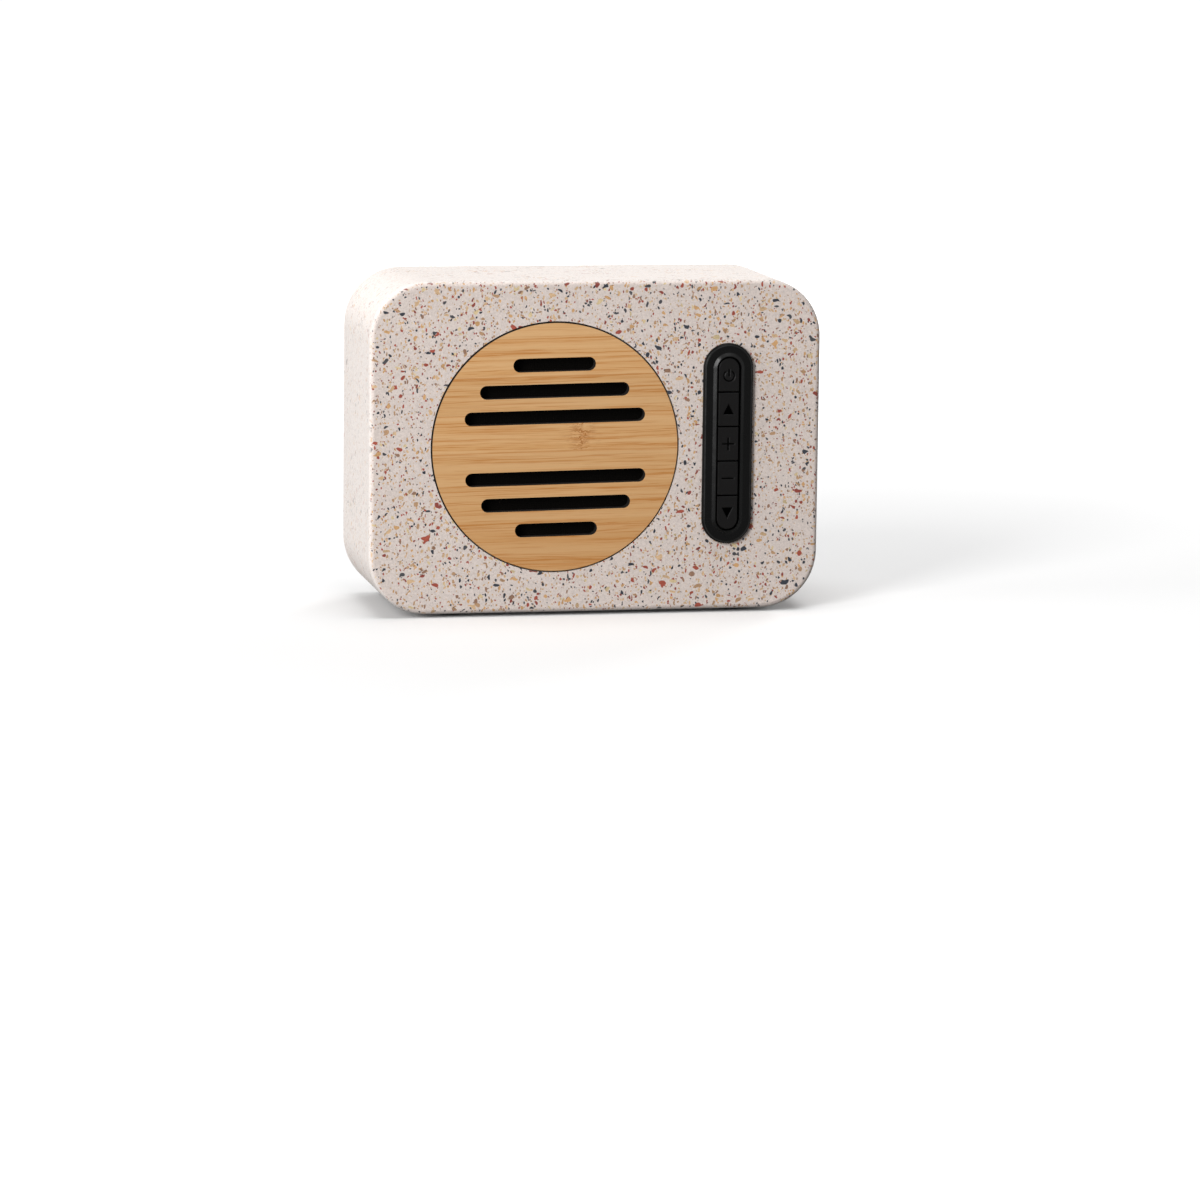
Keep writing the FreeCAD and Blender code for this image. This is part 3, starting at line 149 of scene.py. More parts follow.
class Paint:
    """A material being mixed: its node tree, its surface shader and the patterns that finishes share."""

    def __init__(self, owner: bpy.types.Material | bpy.types.World, shader: str) -> None:
        """Starts with the nodes that a new material or world has.

        Args:
            owner: the material or world.
            shader: the type of its shader.
        """
        owner.use_nodes = True
        self.material = owner
        self.tree = owner.node_tree
        self.shader = next(n for n in self.tree.nodes if n.type == shader)

    @classmethod
    def of_material(cls, name: str) -> "Paint":
        """A new material with a Principled shader and Object coordinates in millimetres.

        Args:
            name: the material's name.

        Returns:
            The material, ready to be mixed.
        """
        paint = cls(bpy.data.materials.new(name), "BSDF_PRINCIPLED")
        paint.place = paint.stretch(paint.node("ShaderNodeTexCoord", out="Object"), (1 / MM,) * 3)
        return paint

    @classmethod
    def of_world(cls, world: bpy.types.World) -> "Paint":
        """The nodes of a world."""
        return cls(world, "BACKGROUND")

    def seen(self) -> Wire:
        """Whether the camera sees a surface straight, mirrored or through something.

        Returns:
            1 where it does, else 0.
        """
        path = self.node("ShaderNodeLightPath", out="Is Camera Ray")
        glossy, through = self.twin(path, "Is Glossy Ray"), self.twin(path, "Is Transmission Ray")
        return path.maths("MAXIMUM", glossy).maths("MAXIMUM", through)

    def node(
        self,
        kind: str,
        settings: dict[str, Any] | None = None,
        sockets: dict[Any, Any] | None = None,
        out: Any = 0,
    ) -> Wire:
        """Adds one node of any type.

        Args:
            kind: the node's type.
            settings: its settings, set first; "stops" fills a colour ramp.
            sockets: values or wires by the socket's identifier, name or number.
            out: the name or number of the output wanted.

        Returns:
            The wanted output.
        """
        made = self.tree.nodes.new(kind)
        for key, value in (settings or {}).items():
            if key == "stops":
                self.fill_ramp(made.color_ramp, value)
            elif key == "ramp_steps":
                made.color_ramp.interpolation = value
            else:
                setattr(made, key, value)
        for key, value in (sockets or {}).items():
            self.feed(self.find(made, key), value)
        return Wire(self, made.outputs[out])

    @staticmethod
    def find(made: bpy.types.Node, key: Any) -> bpy.types.NodeSocket:
        """The node's input with that identifier, name or number."""
        return next((s for s in made.inputs if s.identifier == key), None) or made.inputs[key]

    def feed(self, socket: bpy.types.NodeSocket, value: Any) -> None:
        """Links a wire to a socket, or sets a plain value on it.

        Args:
            socket: the input socket.
            value: a wire, a number, a colour or a vector.
        """
        if isinstance(value, Wire):
            self.tree.links.new(value.socket, socket)
        elif socket.type == "RGBA":
            socket.default_value = (*value, 1.0)
        else:
            socket.default_value = value

    @staticmethod
    def fill_ramp(ramp: bpy.types.ColorRamp, stops: Stops) -> None:
        """Gives a colour ramp its stops.

        Args:
            ramp: the ramp, which starts with two stops.
            stops: places and colours, in order.
        """
        for _ in range(len(stops) - 2):
            ramp.elements.new(0.5)
        for element, (place, colour) in zip(ramp.elements, stops):
            element.position = place
            element.color = (*colour, 1.0)

    def surface(self, **sockets: Any) -> None:
        """Feeds the shader's sockets, named with _ for each space."""
        for name, value in sockets.items():
            self.feed(self.shader.inputs[name.replace("_", " ")], value)

    def stretch(self, place: Wire, factors: Colour) -> Wire:
        """The place, scaled along each axis."""
        return self.node("ShaderNodeVectorMath", {"operation": "MULTIPLY"}, {0: place, 1: factors})

    def move(self, place: Wire, step: Any) -> Wire:
        """The place plus a vector."""
        return self.node("ShaderNodeVectorMath", {"operation": "ADD"}, {0: place, 1: step})

    def turn(self, place: Wire, degrees: Colour, scale: Colour = (1.0, 1.0, 1.0)) -> Wire:
        """The place, scaled and then turned about each axis."""
        angles = tuple(math.radians(d) for d in degrees)
        return self.node("ShaderNodeMapping", None, {"Vector": place, "Rotation": angles, "Scale": scale})

    def axes(self, place: Wire) -> tuple[Wire, Wire, Wire]:
        """The three coordinates of a place."""
        made = self.node("ShaderNodeSeparateXYZ", None, {0: place}).socket.node
        return tuple(Wire(self, s) for s in made.outputs)

    def channels(self, colour: Wire) -> tuple[Wire, Wire, Wire]:
        """The three channels of a colour."""
        made = self.node("ShaderNodeSeparateColor", None, {0: colour}).socket.node
        return tuple(Wire(self, s) for s in made.outputs)

    def join(self, x: Any, y: Any, z: Any) -> Wire:
        """A vector from three values."""
        return self.node("ShaderNodeCombineXYZ", None, {0: x, 1: y, 2: z})

    def noise(
        self, place: Wire, scale: float, detail: float = 2.0, rough: float = 0.5, out: str = "Fac"
    ) -> Wire:
        """Soft random cloud.

        Args:
            place: where it is read, in millimetres.
            scale: features per millimetre.
            detail: how many finer layers it has.
            rough: how strong the finer layers are.
            out: "Fac" for one value, "Color" for three.

        Returns:
            Values from about 0.2 to 0.8.
        """
        values = {"Vector": place, "Scale": scale, "Detail": detail, "Roughness": rough}
        return self.node("ShaderNodeTexNoise", None, values, out)

    def cells(self, place: Wire, feature: str, out: str, wander: float = 1.0, kind: str = "3D") -> Wire:
        """Random cells about one unit across.

        Args:
            place: where they are read, or the one value for cells along a line.
            feature: the Voronoi feature.
            out: the output wanted.
            wander: how far the cells are from a regular lattice.
            kind: "3D", or "1D" for cells along a line.

        Returns:
            The wanted output.
        """
        where = {"W": place} if kind == "1D" else {"Vector": place}
        settings = {"voronoi_dimensions": kind, "feature": feature}
        return self.node("ShaderNodeTexVoronoi", settings, {**where, "Scale": 1.0, "Randomness": wander}, out)

    def twin(self, wire: Wire, out: str) -> Wire:
        """Another output of the node that a wire comes from."""
        return Wire(self, wire.socket.node.outputs[out])

    def blend(self, factor: Any, a: Any, b: Any, mode: str = "MIX") -> Wire:
        """Mixes two colours.

        Args:
            factor: how much of the second, from 0 to 1.
            a: the first colour or wire.
            b: the second.
            mode: the Mix node's blend type.

        Returns:
            The mixed colour.
        """
        settings = {"data_type": "RGBA", "blend_type": mode}
        return self.node("ShaderNodeMix", settings, {"Factor_Float": factor, "A_Color": a, "B_Color": b}, 2)

    def ramp(self, factor: Wire, stops: Stops, steps: str = "LINEAR") -> Wire:
        """A colour picked along a ramp."""
        return self.node("ShaderNodeValToRGB", {"ramp_steps": steps, "stops": stops}, {"Fac": factor}, "Color")

    def tint(self, colour: Any, factor: Wire) -> Wire:
        """A colour made lighter or darker by a factor."""
        return self.node("ShaderNodeVectorMath", {"operation": "SCALE"}, {0: colour, "Scale": factor})

    def relief(self, height: Wire, depth: float) -> None:
        """Bumps the surface.

        Args:
            height: the pattern, about 0 to 1.
            depth: how deep one unit of it is, in millimetres.
        """
        bump = self.node("ShaderNodeBump", None, {"Strength": 1.0, "Distance": depth * MM, "Height": height})
        self.surface(Normal=bump)


@dataclass(frozen=True)
class Finish:
    """A surface finish, mixed once and shared by every piece that has it."""

    name: str

    def compose(self, paint: Paint) -> None:
        """Mixes the finish.

        Args:
            paint: the new material.
        """
        raise NotImplementedError

    def material(self) -> bpy.types.Material:
        """Mixes the finish at its first use.

        Returns:
            The finish's material.
        """
        found = bpy.data.materials.get(self.name)
        if found is None:
            paint = Paint.of_material(self.name)
            self.compose(paint)
            found = paint.material
        return found


@dataclass(frozen=True)
class ChipSize:
    """One size of stone chip: its cell, the share of cells that hold a chip, and how the cells lie."""

    cell: float
    share: float
    lean: Colour
    pull: Colour


@dataclass(frozen=True)
class CastStone(Finish):
    """Pale cast cement with stone chips: ground open on the front, covered by a thin skin elsewhere."""

    front: float
    back: float
    ground: Colour = (0.745, 0.650, 0.600)
    skin: Colour = (0.765, 0.708, 0.672)
    sizes: tuple[ChipSize, ...] = (
        ChipSize(1.65, 0.22, (20, 35, 50), (0.85, 1.0, 1.25)),
        ChipSize(1.00, 0.40, (70, -25, 10), (1.3, 1.0, 0.8)),
        ChipSize(0.60, 0.42, (-40, 15, 80), (1.0, 1.2, 0.85)),
    )
    stones: Stops = (
        (0.0, (0.024, 0.028, 0.038)),
        (0.13, (0.056, 0.056, 0.062)),
        (0.19, (0.330, 0.072, 0.046)),
        (0.31, (0.235, 0.052, 0.038)),
        (0.38, (0.560, 0.325, 0.150)),
        (0.56, (0.590, 0.400, 0.235)),
        (0.74, (0.420, 0.255, 0.145)),
        (0.86, (0.270, 0.155, 0.100)),
        (0.93, (0.640, 0.500, 0.290)),
    )

    def chips(self, paint: Paint, size: ChipSize) -> tuple[Wire, Wire]:
        """Stone chips of one size: shrunken, rounded cells of a warped 3-D lattice, cut by the surface.

        Args:
            paint: the material.
            size: the chips' size.

        Returns:
            Where the chips are, and their colour.
        """
        drift = paint.noise(paint.place, 0.6 / size.cell, 1.0, out="Color")
        drift = paint.stretch(paint.move(drift, (-0.5,) * 3), (1.5 * size.cell,) * 3)
        pull = tuple(p / size.cell for p in size.pull)
        place = paint.turn(paint.move(paint.place, drift), size.lean, pull)
        edge = paint.cells(place, "DISTANCE_TO_EDGE", "Distance")
        reach = paint.cells(place, "F1", "Distance")
        pick, kind, tone = paint.channels(paint.twin(reach, "Color"))
        largest = tone * 0.20 + 0.26
        here = edge.rise(0.05, 0.10) * reach.rise(largest + 0.04, largest - 0.02) * (pick < size.share)
        colour = paint.ramp(kind, self.stones, "CONSTANT")
        grain = paint.noise(paint.place, 3.5, 2.0)
        return here, paint.tint(colour, tone * 0.35 + grain * 0.8 + 0.45)

    def compose(self, paint: Paint) -> None:
        """Mixes ground, chips, cement skin, pinholes and fine sand.

        Args:
            paint: the material.
        """
        _, depth, _ = paint.axes(paint.place)
        bare = (depth - self.front).rise(0.55, 0.04) + (self.back - depth).rise(0.55, 0.04) * 0.75
        patch = paint.noise(paint.place, 0.11, 2.0).rise(0.45, 0.72)
        shown = bare + (1 - bare) * (patch * 0.40 + 0.17)
        cloud = paint.noise(paint.place, 0.12, 3.0, 0.55)
        sand = paint.noise(paint.place, 2.1, 3.0, 0.75)
        dust = paint.noise(paint.place, 5.5, 2.0, 0.6)
        streak = paint.noise(paint.stretch(paint.place, (2.2, 2.2, 0.16)), 1.0, 2.0, 0.6)
        colour = paint.blend(bare, self.skin, self.ground)
        fine = (sand - 0.5) * (bare * 0.30 + 0.40) + (dust - 0.5) * (bare * 0.02 + 0.44) + 1.0
        colour = paint.tint(colour, fine * (cloud * 0.06 + streak * 0.05 + 0.945))
        stony = None
        for size in reversed(self.sizes):
            here, stone = self.chips(paint, size)
            colour = paint.blend(here * shown, colour, stone)
            stony = here if stony is None else stony.maths("MAXIMUM", here)
        pit = paint.cells(paint.stretch(paint.place, (0.42,) * 3), "F1", "Distance")
        # Pinholes: sunk in the relief, and also darkened in colour as painted shade in the pits.
        hole = pit.rise(0.085, 0.045)
        colour = paint.tint(colour, 1 - hole * 0.35)
        rough = 0.88 - stony * shown * 0.25 + (sand - 0.5) * 0.1
        paint.surface(Base_Color=colour, Roughness=rough, Specular_IOR_Level=0.35)
        paint.relief(sand * 0.9 + cloud * 0.8 - hole * 2.2 - stony * shown * 0.2, 0.07)


@dataclass(frozen=True)
class Bamboo(Finish):
    """Laminated bamboo strips with long fibres, one culm node, and laser-charred edges; the dark rim also holds
    painted shadow, widest at the upper left.
    """

    middle: tuple[float, float]
    front: float
    turned: float
    strip: float = 9.05
    strip_start: float = -1.0
    culm_node: tuple[float, float] = (6.4, 2.9)
    pale: Colour = (0.715, 0.430, 0.200)
    body: Colour = (0.660, 0.365, 0.148)
    fibre: Colour = (0.500, 0.195, 0.042)
    scar: Colour = (0.36, 0.12, 0.022)
    char_and_shadow: Colour = (0.006, 0.004, 0.0025)
    rim_shadow_lean: float = 0.07
    rim_char_and_shadow: tuple[float, float] = (29.86, 30.0)
    char_depth: tuple[float, float] = (0.06, 0.22)

    def compose(self, paint: Paint) -> None:
        """Mixes strips, fibres, the node mark, the charred walls, and the dark rim, which is char plus painted
        shadow.

        Args:
            paint: the material.
        """
        x, depth, z = paint.axes(paint.place)
        tilt = math.radians(self.turned)
        dx, dz = x - self.middle[0], z - self.middle[1]
        along = dx * math.cos(tilt) + dz * math.sin(tilt)
        across = dz * math.cos(tilt) - dx * math.sin(tilt)
        number = ((across - self.strip_start) / self.strip).maths("FLOOR")
        chance = paint.node("ShaderNodeTexWhiteNoise", {"noise_dimensions": "1D"}, {"W": number}, "Value")
        in_strip = (across - self.strip_start) / self.strip - number
        joint = (in_strip * (1 - in_strip)).rise(0.020, 0.004)
        node_z = across - self.culm_node[1]
        wiggle = paint.noise(paint.join(0.0, 7.0, across), 1.1, 2.0) * 2.2 - 1.1
        node_x = along - self.culm_node[0] + wiggle
        own_strip = abs(node_z).rise(4.0, 3.3)
        ripple = (node_x * node_x * -0.30).maths("EXPONENT") * own_strip
        waver = paint.noise(paint.join(along * 0.035, chance * 40.0, across * 0.25), 1.0, 2.0) * 1.1
        bent = across + waver + ripple * (paint.noise(paint.place, 1.3, 1.0) - 0.5) * 1.8
        broad = paint.noise(paint.join(along * 0.010, chance * 17.0, bent * 0.7), 1.0, 3.0, 0.6)
        narrow = paint.noise(paint.join(along * 0.024, chance * 29.0, bent * 2.4), 1.0, 4.0, 0.75)
        hair = paint.noise(paint.join(along * 0.11, chance * 53.0, bent * 8.0), 1.0, 2.0, 0.6)
        line = paint.noise(paint.join(along * 0.045, chance * 71.0, bent * 3.6), 1.0, 2.0, 0.6)
        colour = paint.blend(broad.rise(0.34, 0.66), self.pale, self.body)
        streak = narrow.rise(0.525, 0.61) * (broad.rise(0.40, 0.62) * 0.80 + 0.20)
        colour = paint.blend(streak * 0.90, colour, self.fibre)
        colour = paint.blend(hair.rise(0.54, 0.74) * 0.38, colour, self.fibre)
        thin = line.rise(0.575, 0.635) * (broad.rise(0.36, 0.60) * 0.65 + 0.35)
        colour = paint.blend(thin * 0.85, colour, self.fibre)
        colour = paint.blend(joint * 0.60, colour, self.fibre)
        colour = paint.blend(across.rise(-9.0, -24.0) * 0.16, colour, self.fibre)
        dashes = paint.noise(paint.join(along * 0.30, 3.0, bent * 2.2), 1.0, 3.0, 0.65).rise(0.47, 0.58)
        near = (node_x * node_x * -0.09 - node_z * node_z * 0.08).maths("EXPONENT") * own_strip
        seam = (node_x * node_x * -14.0).maths("EXPONENT") * own_strip * paint.noise(paint.place, 1.2, 1.0)
        mark = (near * dashes * 0.80 + seam * 0.75).maths("MINIMUM", 0.9)
        colour = paint.blend(mark, colour, self.scar)
        colour = paint.tint(colour, chance * 0.08 + hair * 0.16 + narrow * 0.10 + 0.835)
        # Dark rim: real char plus painted shadow. Its circle is shifted down and to the right, so the band is
        # widest at the upper left.
        lean_x, lean_z = along - self.rim_shadow_lean, across + self.rim_shadow_lean
        reach = lean_x.hypot(lean_z)
        char_and_rim_shadow = reach.rise(*self.rim_char_and_shadow).maths("MAXIMUM", (depth - self.front).rise(*self.char_depth))
        colour = paint.blend(char_and_rim_shadow, colour, self.char_and_shadow)
        paint.surface(Base_Color=colour, Roughness=0.46 + hair * 0.16 + char_and_rim_shadow * 0.35, Specular_IOR_Level=0.3)
        paint.relief(hair * 0.6 + narrow * 0.4 - joint * 0.7, 0.018)


@dataclass(frozen=True)
class Woven(Finish):
    """Plain-woven cloth: threads over and under along two axes of the piece."""

    thread: Colour
    pitch: float
    sheen: float = 0.2

    def compose(self, paint: Paint) -> None:
        """Mixes the two sets of threads and their relief.

        Args:
            paint: the material.
        """
        x, _, z = paint.axes(paint.place)
        turns = math.pi / self.pitch
        warp, weft = (x * turns).maths("SINE"), (z * turns).maths("SINE")
        over = ((x * turns * 0.5).maths("SINE") * (z * turns * 0.5).maths("SINE")).rise(-0.3, 0.3)
        height = abs(warp) * over + abs(weft) * (1 - over)
        slub = paint.noise(paint.stretch(paint.place, (0.4, 0.4, 2.5)), 1.0, 2.0)
        colour = paint.tint(self.thread, height * 0.9 + slub * 0.5 + 0.15)
        paint.surface(
            Base_Color=colour, Roughness=0.95 - height * 0.1, Specular_IOR_Level=0.05, Sheen_Weight=self.sheen
        )
        paint.relief(height, self.pitch * 0.25)


@dataclass(frozen=True)
class Moulded(Finish):
    """Moulded plastic or rubber: fine spark texture, slight mottling and handling marks."""

    base: Colour
    rough: float
    grain: float
    depth: float
    gloss: float = 0.25

    def compose(self, paint: Paint) -> None:
        """Mixes the texture, the mottling and the marks of handling.

        Args:
            paint: the material.
        """
        spark = paint.noise(paint.place, 1.0 / self.grain, 3.0, 0.6)
        mottle = paint.noise(paint.place, 0.22, 3.0, 0.6)
        rub = paint.noise(paint.stretch(paint.place, (0.9, 0.9, 0.12)), 1.0, 4.0, 0.65)
        colour = paint.tint(self.base, mottle * 0.3 + spark * 0.3 + 0.7)
        rough = self.rough + (spark - 0.5) * 0.22 - rub.rise(0.55, 0.8) * 0.07
        paint.surface(Base_Color=colour, Roughness=rough, Specular_IOR_Level=self.gloss)
        paint.relief(spark, self.depth)


@dataclass(frozen=True)
class MouldedPaintedHighlight(Moulded):
    """The moulded plastic of a pill-shaped rim, with a painted highlight: a glossy coat in bands round its
    shoulder and bevel.
    """

    middle: tuple[float, float] = (32.1, 41.2)
    half_run: float = 18.2
    highlight_bands: tuple[tuple[float, float, float, float], ...] = ((5.60, 0.17, 0.50, 0.3), (3.45, 0.50, 0.27, 0.95))

    def compose(self, paint: Paint) -> None:
        """Mixes the plastic, and adds the painted highlight: most at the upper left, the side towards the
        light.

        Args:
            paint: the material.
        """
        super().compose(paint)
        x, _, z = paint.axes(paint.place)
        dx, dz = x - self.middle[0], z - self.middle[1]
        over = (abs(dz) - self.half_run).maths("MAXIMUM", 0.0)
        reach = dx.hypot(over)
        # Painted highlight: the coat is strongest at the upper left, the side that faces the light.
        towards_light = dz * 0.035 - dx * 0.14 + 0.5
        towards_light = towards_light.maths("MAXIMUM", 0.0).maths("MINIMUM", 1.5)
        patch = paint.noise(paint.place, 0.30, 3.0, 0.6).rise(0.30, 0.62) * 0.5 + 0.5
        painted_highlight = 0.0
        for radius, half, weight, lean in self.highlight_bands:
            painted_highlight = abs(reach - radius).rise(half, half * 0.5) * (towards_light * lean + 1 - lean) * weight + painted_highlight
        paint.surface(Coat_Weight=painted_highlight * patch, Coat_Roughness=0.24)


@dataclass(frozen=True)
class Foam(Finish):
    """Closed-cell foam: small open bubbles in a dark sheet."""

    base: Colour = (0.022, 0.022, 0.023)
    bubble: float = 0.35

    def compose(self, paint: Paint) -> None:
        """Mixes the bubbles and their walls.

        Args:
            paint: the material.
        """
        place = paint.stretch(paint.place, (1 / self.bubble,) * 3)
        wall = paint.cells(place, "DISTANCE_TO_EDGE", "Distance").rise(0.0, 0.22)
        shade = paint.noise(paint.place, 0.5, 2.0)
        colour = paint.tint(self.base, shade * 0.6 + 1.2 - wall * 0.5)
        paint.surface(Base_Color=colour, Roughness=0.97 - wall * 0.06, Specular_IOR_Level=0.1)
        paint.relief(1 - wall, self.bubble * 0.4)


@dataclass(frozen=True)
class Pulp(Finish):
    """Pressed paper pulp of the driver cone: matted fibres."""

    base: Colour = (0.030, 0.029, 0.028)

    def compose(self, paint: Paint) -> None:
        """Mixes fibres in two directions.

        Args:
            paint: the material.
        """
        one = paint.noise(paint.turn(paint.place, (15, 40, 70), (6.0, 0.7, 0.7)), 1.0, 3.0, 0.7)
        two = paint.noise(paint.turn(paint.place, (80, -20, 35), (0.7, 6.0, 0.7)), 1.0, 3.0, 0.7)
        felt = one.maths("MAXIMUM", two)
        colour = paint.tint(self.base, felt * 1.6 + 0.2)
        paint.surface(Base_Color=colour, Roughness=0.78 + felt * 0.2, Specular_IOR_Level=0.2)
        paint.relief(felt, 0.05)


@dataclass(frozen=True)
class Metal(Finish):
    """Metal with drawing lines, cloudy plating and a little tarnish."""

    base: Colour
    rough: float
    lines: Colour
    tarnish: float = 0.25
    metallic: float = 1.0

    def compose(self, paint: Paint) -> None:
        """Mixes lines, cloud and tarnish.

        Args:
            paint: the material.
        """
        line = paint.noise(paint.stretch(paint.place, self.lines), 1.0, 3.0, 0.6)
        cloud = paint.noise(paint.place, 0.35, 3.0, 0.6)
        dull = cloud.rise(0.48, 0.78) * self.tarnish
        colour = paint.tint(self.base, line * 0.3 + 0.88 - dull * 0.5)
        paint.surface(
            Base_Color=colour,
            Roughness=self.rough + (line - 0.5) * 0.2 + dull * 0.4,
            Metallic=self.metallic - dull * 0.3,
        )
        paint.relief(line, 0.008)


@dataclass(frozen=True)
class Sintered(Finish):
    """Sintered ferrite of the ring magnet: dark, dusty, with grinding marks."""

    base: Colour = (0.030, 0.030, 0.033)

    def compose(self, paint: Paint) -> None:
        """Mixes grains and grinding marks.

        Args:
            paint: the material.
        """
        grain = paint.noise(paint.place, 5.0, 3.0, 0.7)
        marks = paint.noise(paint.stretch(paint.place, (0.2, 4.0, 5.0)), 1.0, 2.0)
        paint.surface(
            Base_Color=paint.tint(self.base, grain * 0.8 + marks * 0.5 + 0.4),
            Roughness=0.52 + grain * 0.3,
            Specular_IOR_Level=0.6,
        )
        paint.relief(grain + marks * 0.5, 0.02)


@dataclass(frozen=True)
class Winding(Finish):
    """Enamelled copper wire, wound turn by turn along the driver's axis, on its brown former."""

    wound_from: float
    wire: float = 0.16
    copper: Colour = (0.63, 0.27, 0.12)
    former: Colour = (0.33, 0.17, 0.06)

    def compose(self, paint: Paint) -> None:
        """Mixes turns of wire behind the former's bare sleeve.

        Args:
            paint: the material.
        """
        _, depth, _ = paint.axes(paint.place)
        wound = depth.rise(self.wound_from - 0.02, self.wound_from + 0.02)
        turn = (depth * (2 * math.pi / self.wire)).wave()
        film = paint.noise(paint.place, 0.8, 2.0)
        colour = paint.blend(wound, self.former, paint.tint(self.copper, turn * 0.45 + film * 0.3 + 0.45))
        paint.surface(Base_Color=colour, Roughness=0.55 - wound * 0.27 + film * 0.1, Metallic=wound * 0.95)
        paint.relief(turn * wound, 0.04)


@dataclass(frozen=True)
class Board(Finish):
    """Circuit board: green mask over copper tracks, tinned pads and pale drilled holes."""

    mask: Colour = (0.010, 0.085, 0.035)
    track: Colour = (0.018, 0.150, 0.060)
    tin: Colour = (0.58, 0.56, 0.50)
    flat: tuple[int, int] = (0, 1)

    def compose(self, paint: Paint) -> None:
        """Mixes tracks, which are the borders of large square cells, and pads on a lattice.

        Args:
            paint: the material.
        """
        axes = paint.axes(paint.place)
        across, along = axes[self.flat[0]], axes[self.flat[1]]
        lane = paint.noise(paint.join(across * 0.22, along * 0.07, 0.0), 1.0, 1.0) * 9.0
        run = (across * 1.6 + lane.maths("SNAP", 0.5) * 2.0).maths("FRACT")
        track = abs(run - 0.5).rise(0.24, 0.18)
        pads = paint.join((across * 0.55).maths("FRACT") - 0.5, (along * 0.55).maths("FRACT") - 0.5, 0.0)
        reach = paint.node("ShaderNodeVectorMath", {"operation": "LENGTH"}, {0: pads}, "Value")
        spot = paint.join((across * 0.55).maths("FLOOR"), (along * 0.55).maths("FLOOR"), 0.0)
        chance = paint.node("ShaderNodeTexWhiteNoise", {"noise_dimensions": "3D"}, {"Vector": spot}, "Value")
        pad = reach.rise(0.27, 0.24) * (chance < 0.16)
        weave = paint.noise(paint.place, 3.0, 2.0)
        colour = paint.blend(track, self.mask, self.track)
        colour = paint.blend(pad, paint.tint(colour, weave * 0.4 + 0.8), self.tin)
        paint.surface(Base_Color=colour, Roughness=0.38 - pad * 0.1 + weave * 0.1, Metallic=pad * 0.9)
        paint.relief(track * 0.5 + pad + weave * 0.15, 0.03)


@dataclass(frozen=True)
class Contacts(Finish):
    """Black tongue of the charging receptacle with rows of gold contacts."""

    middle: float
    mouth: float
    pitch: float = 0.5
    row: float = 2.9
    reach: float = 3.4
    base: Colour = (0.012, 0.012, 0.013)
    gold: Colour = (0.80, 0.56, 0.22)

    def compose(self, paint: Paint) -> None:
        """Mixes contacts: stripes across the tongue, kept to its middle and its front.

        Args:
            paint: the material.
        """
        x, depth, _ = paint.axes(paint.place)
        offset = x - self.middle
        stripe = abs((offset / self.pitch).maths("FRACT") - 0.5).rise(0.27, 0.23)
        inward = self.mouth - depth
        inside = abs(offset).rise(self.row + 0.03, self.row) * inward.rise(self.reach + 0.03, self.reach)
        pin = stripe * inside * inward.rise(0.45, 0.5)
        grain = paint.noise(paint.place, 5.0, 2.0)
        colour = paint.blend(pin, paint.tint(self.base, grain + 0.5), paint.tint(self.gold, grain * 0.4 + 0.8))
        paint.surface(Base_Color=colour, Roughness=0.5 - pin * 0.25 + grain * 0.1, Metallic=pin)
        paint.relief(pin, 0.03)


@dataclass(frozen=True)
class Pouch(Finish):
    """Pouch of the battery cell: embossed aluminium laminate with soft wrinkles."""

    base: Colour = (0.62, 0.62, 0.64)

    def compose(self, paint: Paint) -> None:
        """Mixes wrinkles and the laminate's fine emboss.

        Args:
            paint: the material.
        """
        fold = paint.noise(paint.stretch(paint.place, (0.25, 0.25, 0.08)), 1.0, 3.0, 0.55)
        emboss = paint.noise(paint.place, 4.0, 2.0)
        paint.surface(
            Base_Color=paint.tint(self.base, fold * 0.3 + 0.8),
            Roughness=0.34 + emboss * 0.15,
            Metallic=0.9 - fold * 0.1,
        )
        paint.relief(fold * 3.0 + emboss * 0.3, 0.08)


@dataclass(frozen=True)
class Ribbon(Finish):
    """Flat cable: pale cover with its conductors showing through."""

    middle: float
    pitch: float = 1.0
    cover: Colour = (0.62, 0.62, 0.60)
    wire: Colour = (0.34, 0.32, 0.30)

    def compose(self, paint: Paint) -> None:
        """Mixes conductors across the cable's width.

        Args:
            paint: the material.
        """
        x, _, _ = paint.axes(paint.place)
        wire = abs(((x - self.middle) / self.pitch).maths("FRACT") - 0.5).rise(0.32, 0.2)
        cloud = paint.noise(paint.place, 1.5, 2.0)
        colour = paint.blend(wire, self.cover, self.wire)
        paint.surface(Base_Color=paint.tint(colour, cloud * 0.3 + 0.85), Roughness=0.36 + cloud * 0.2)
        paint.relief(wire, 0.06)


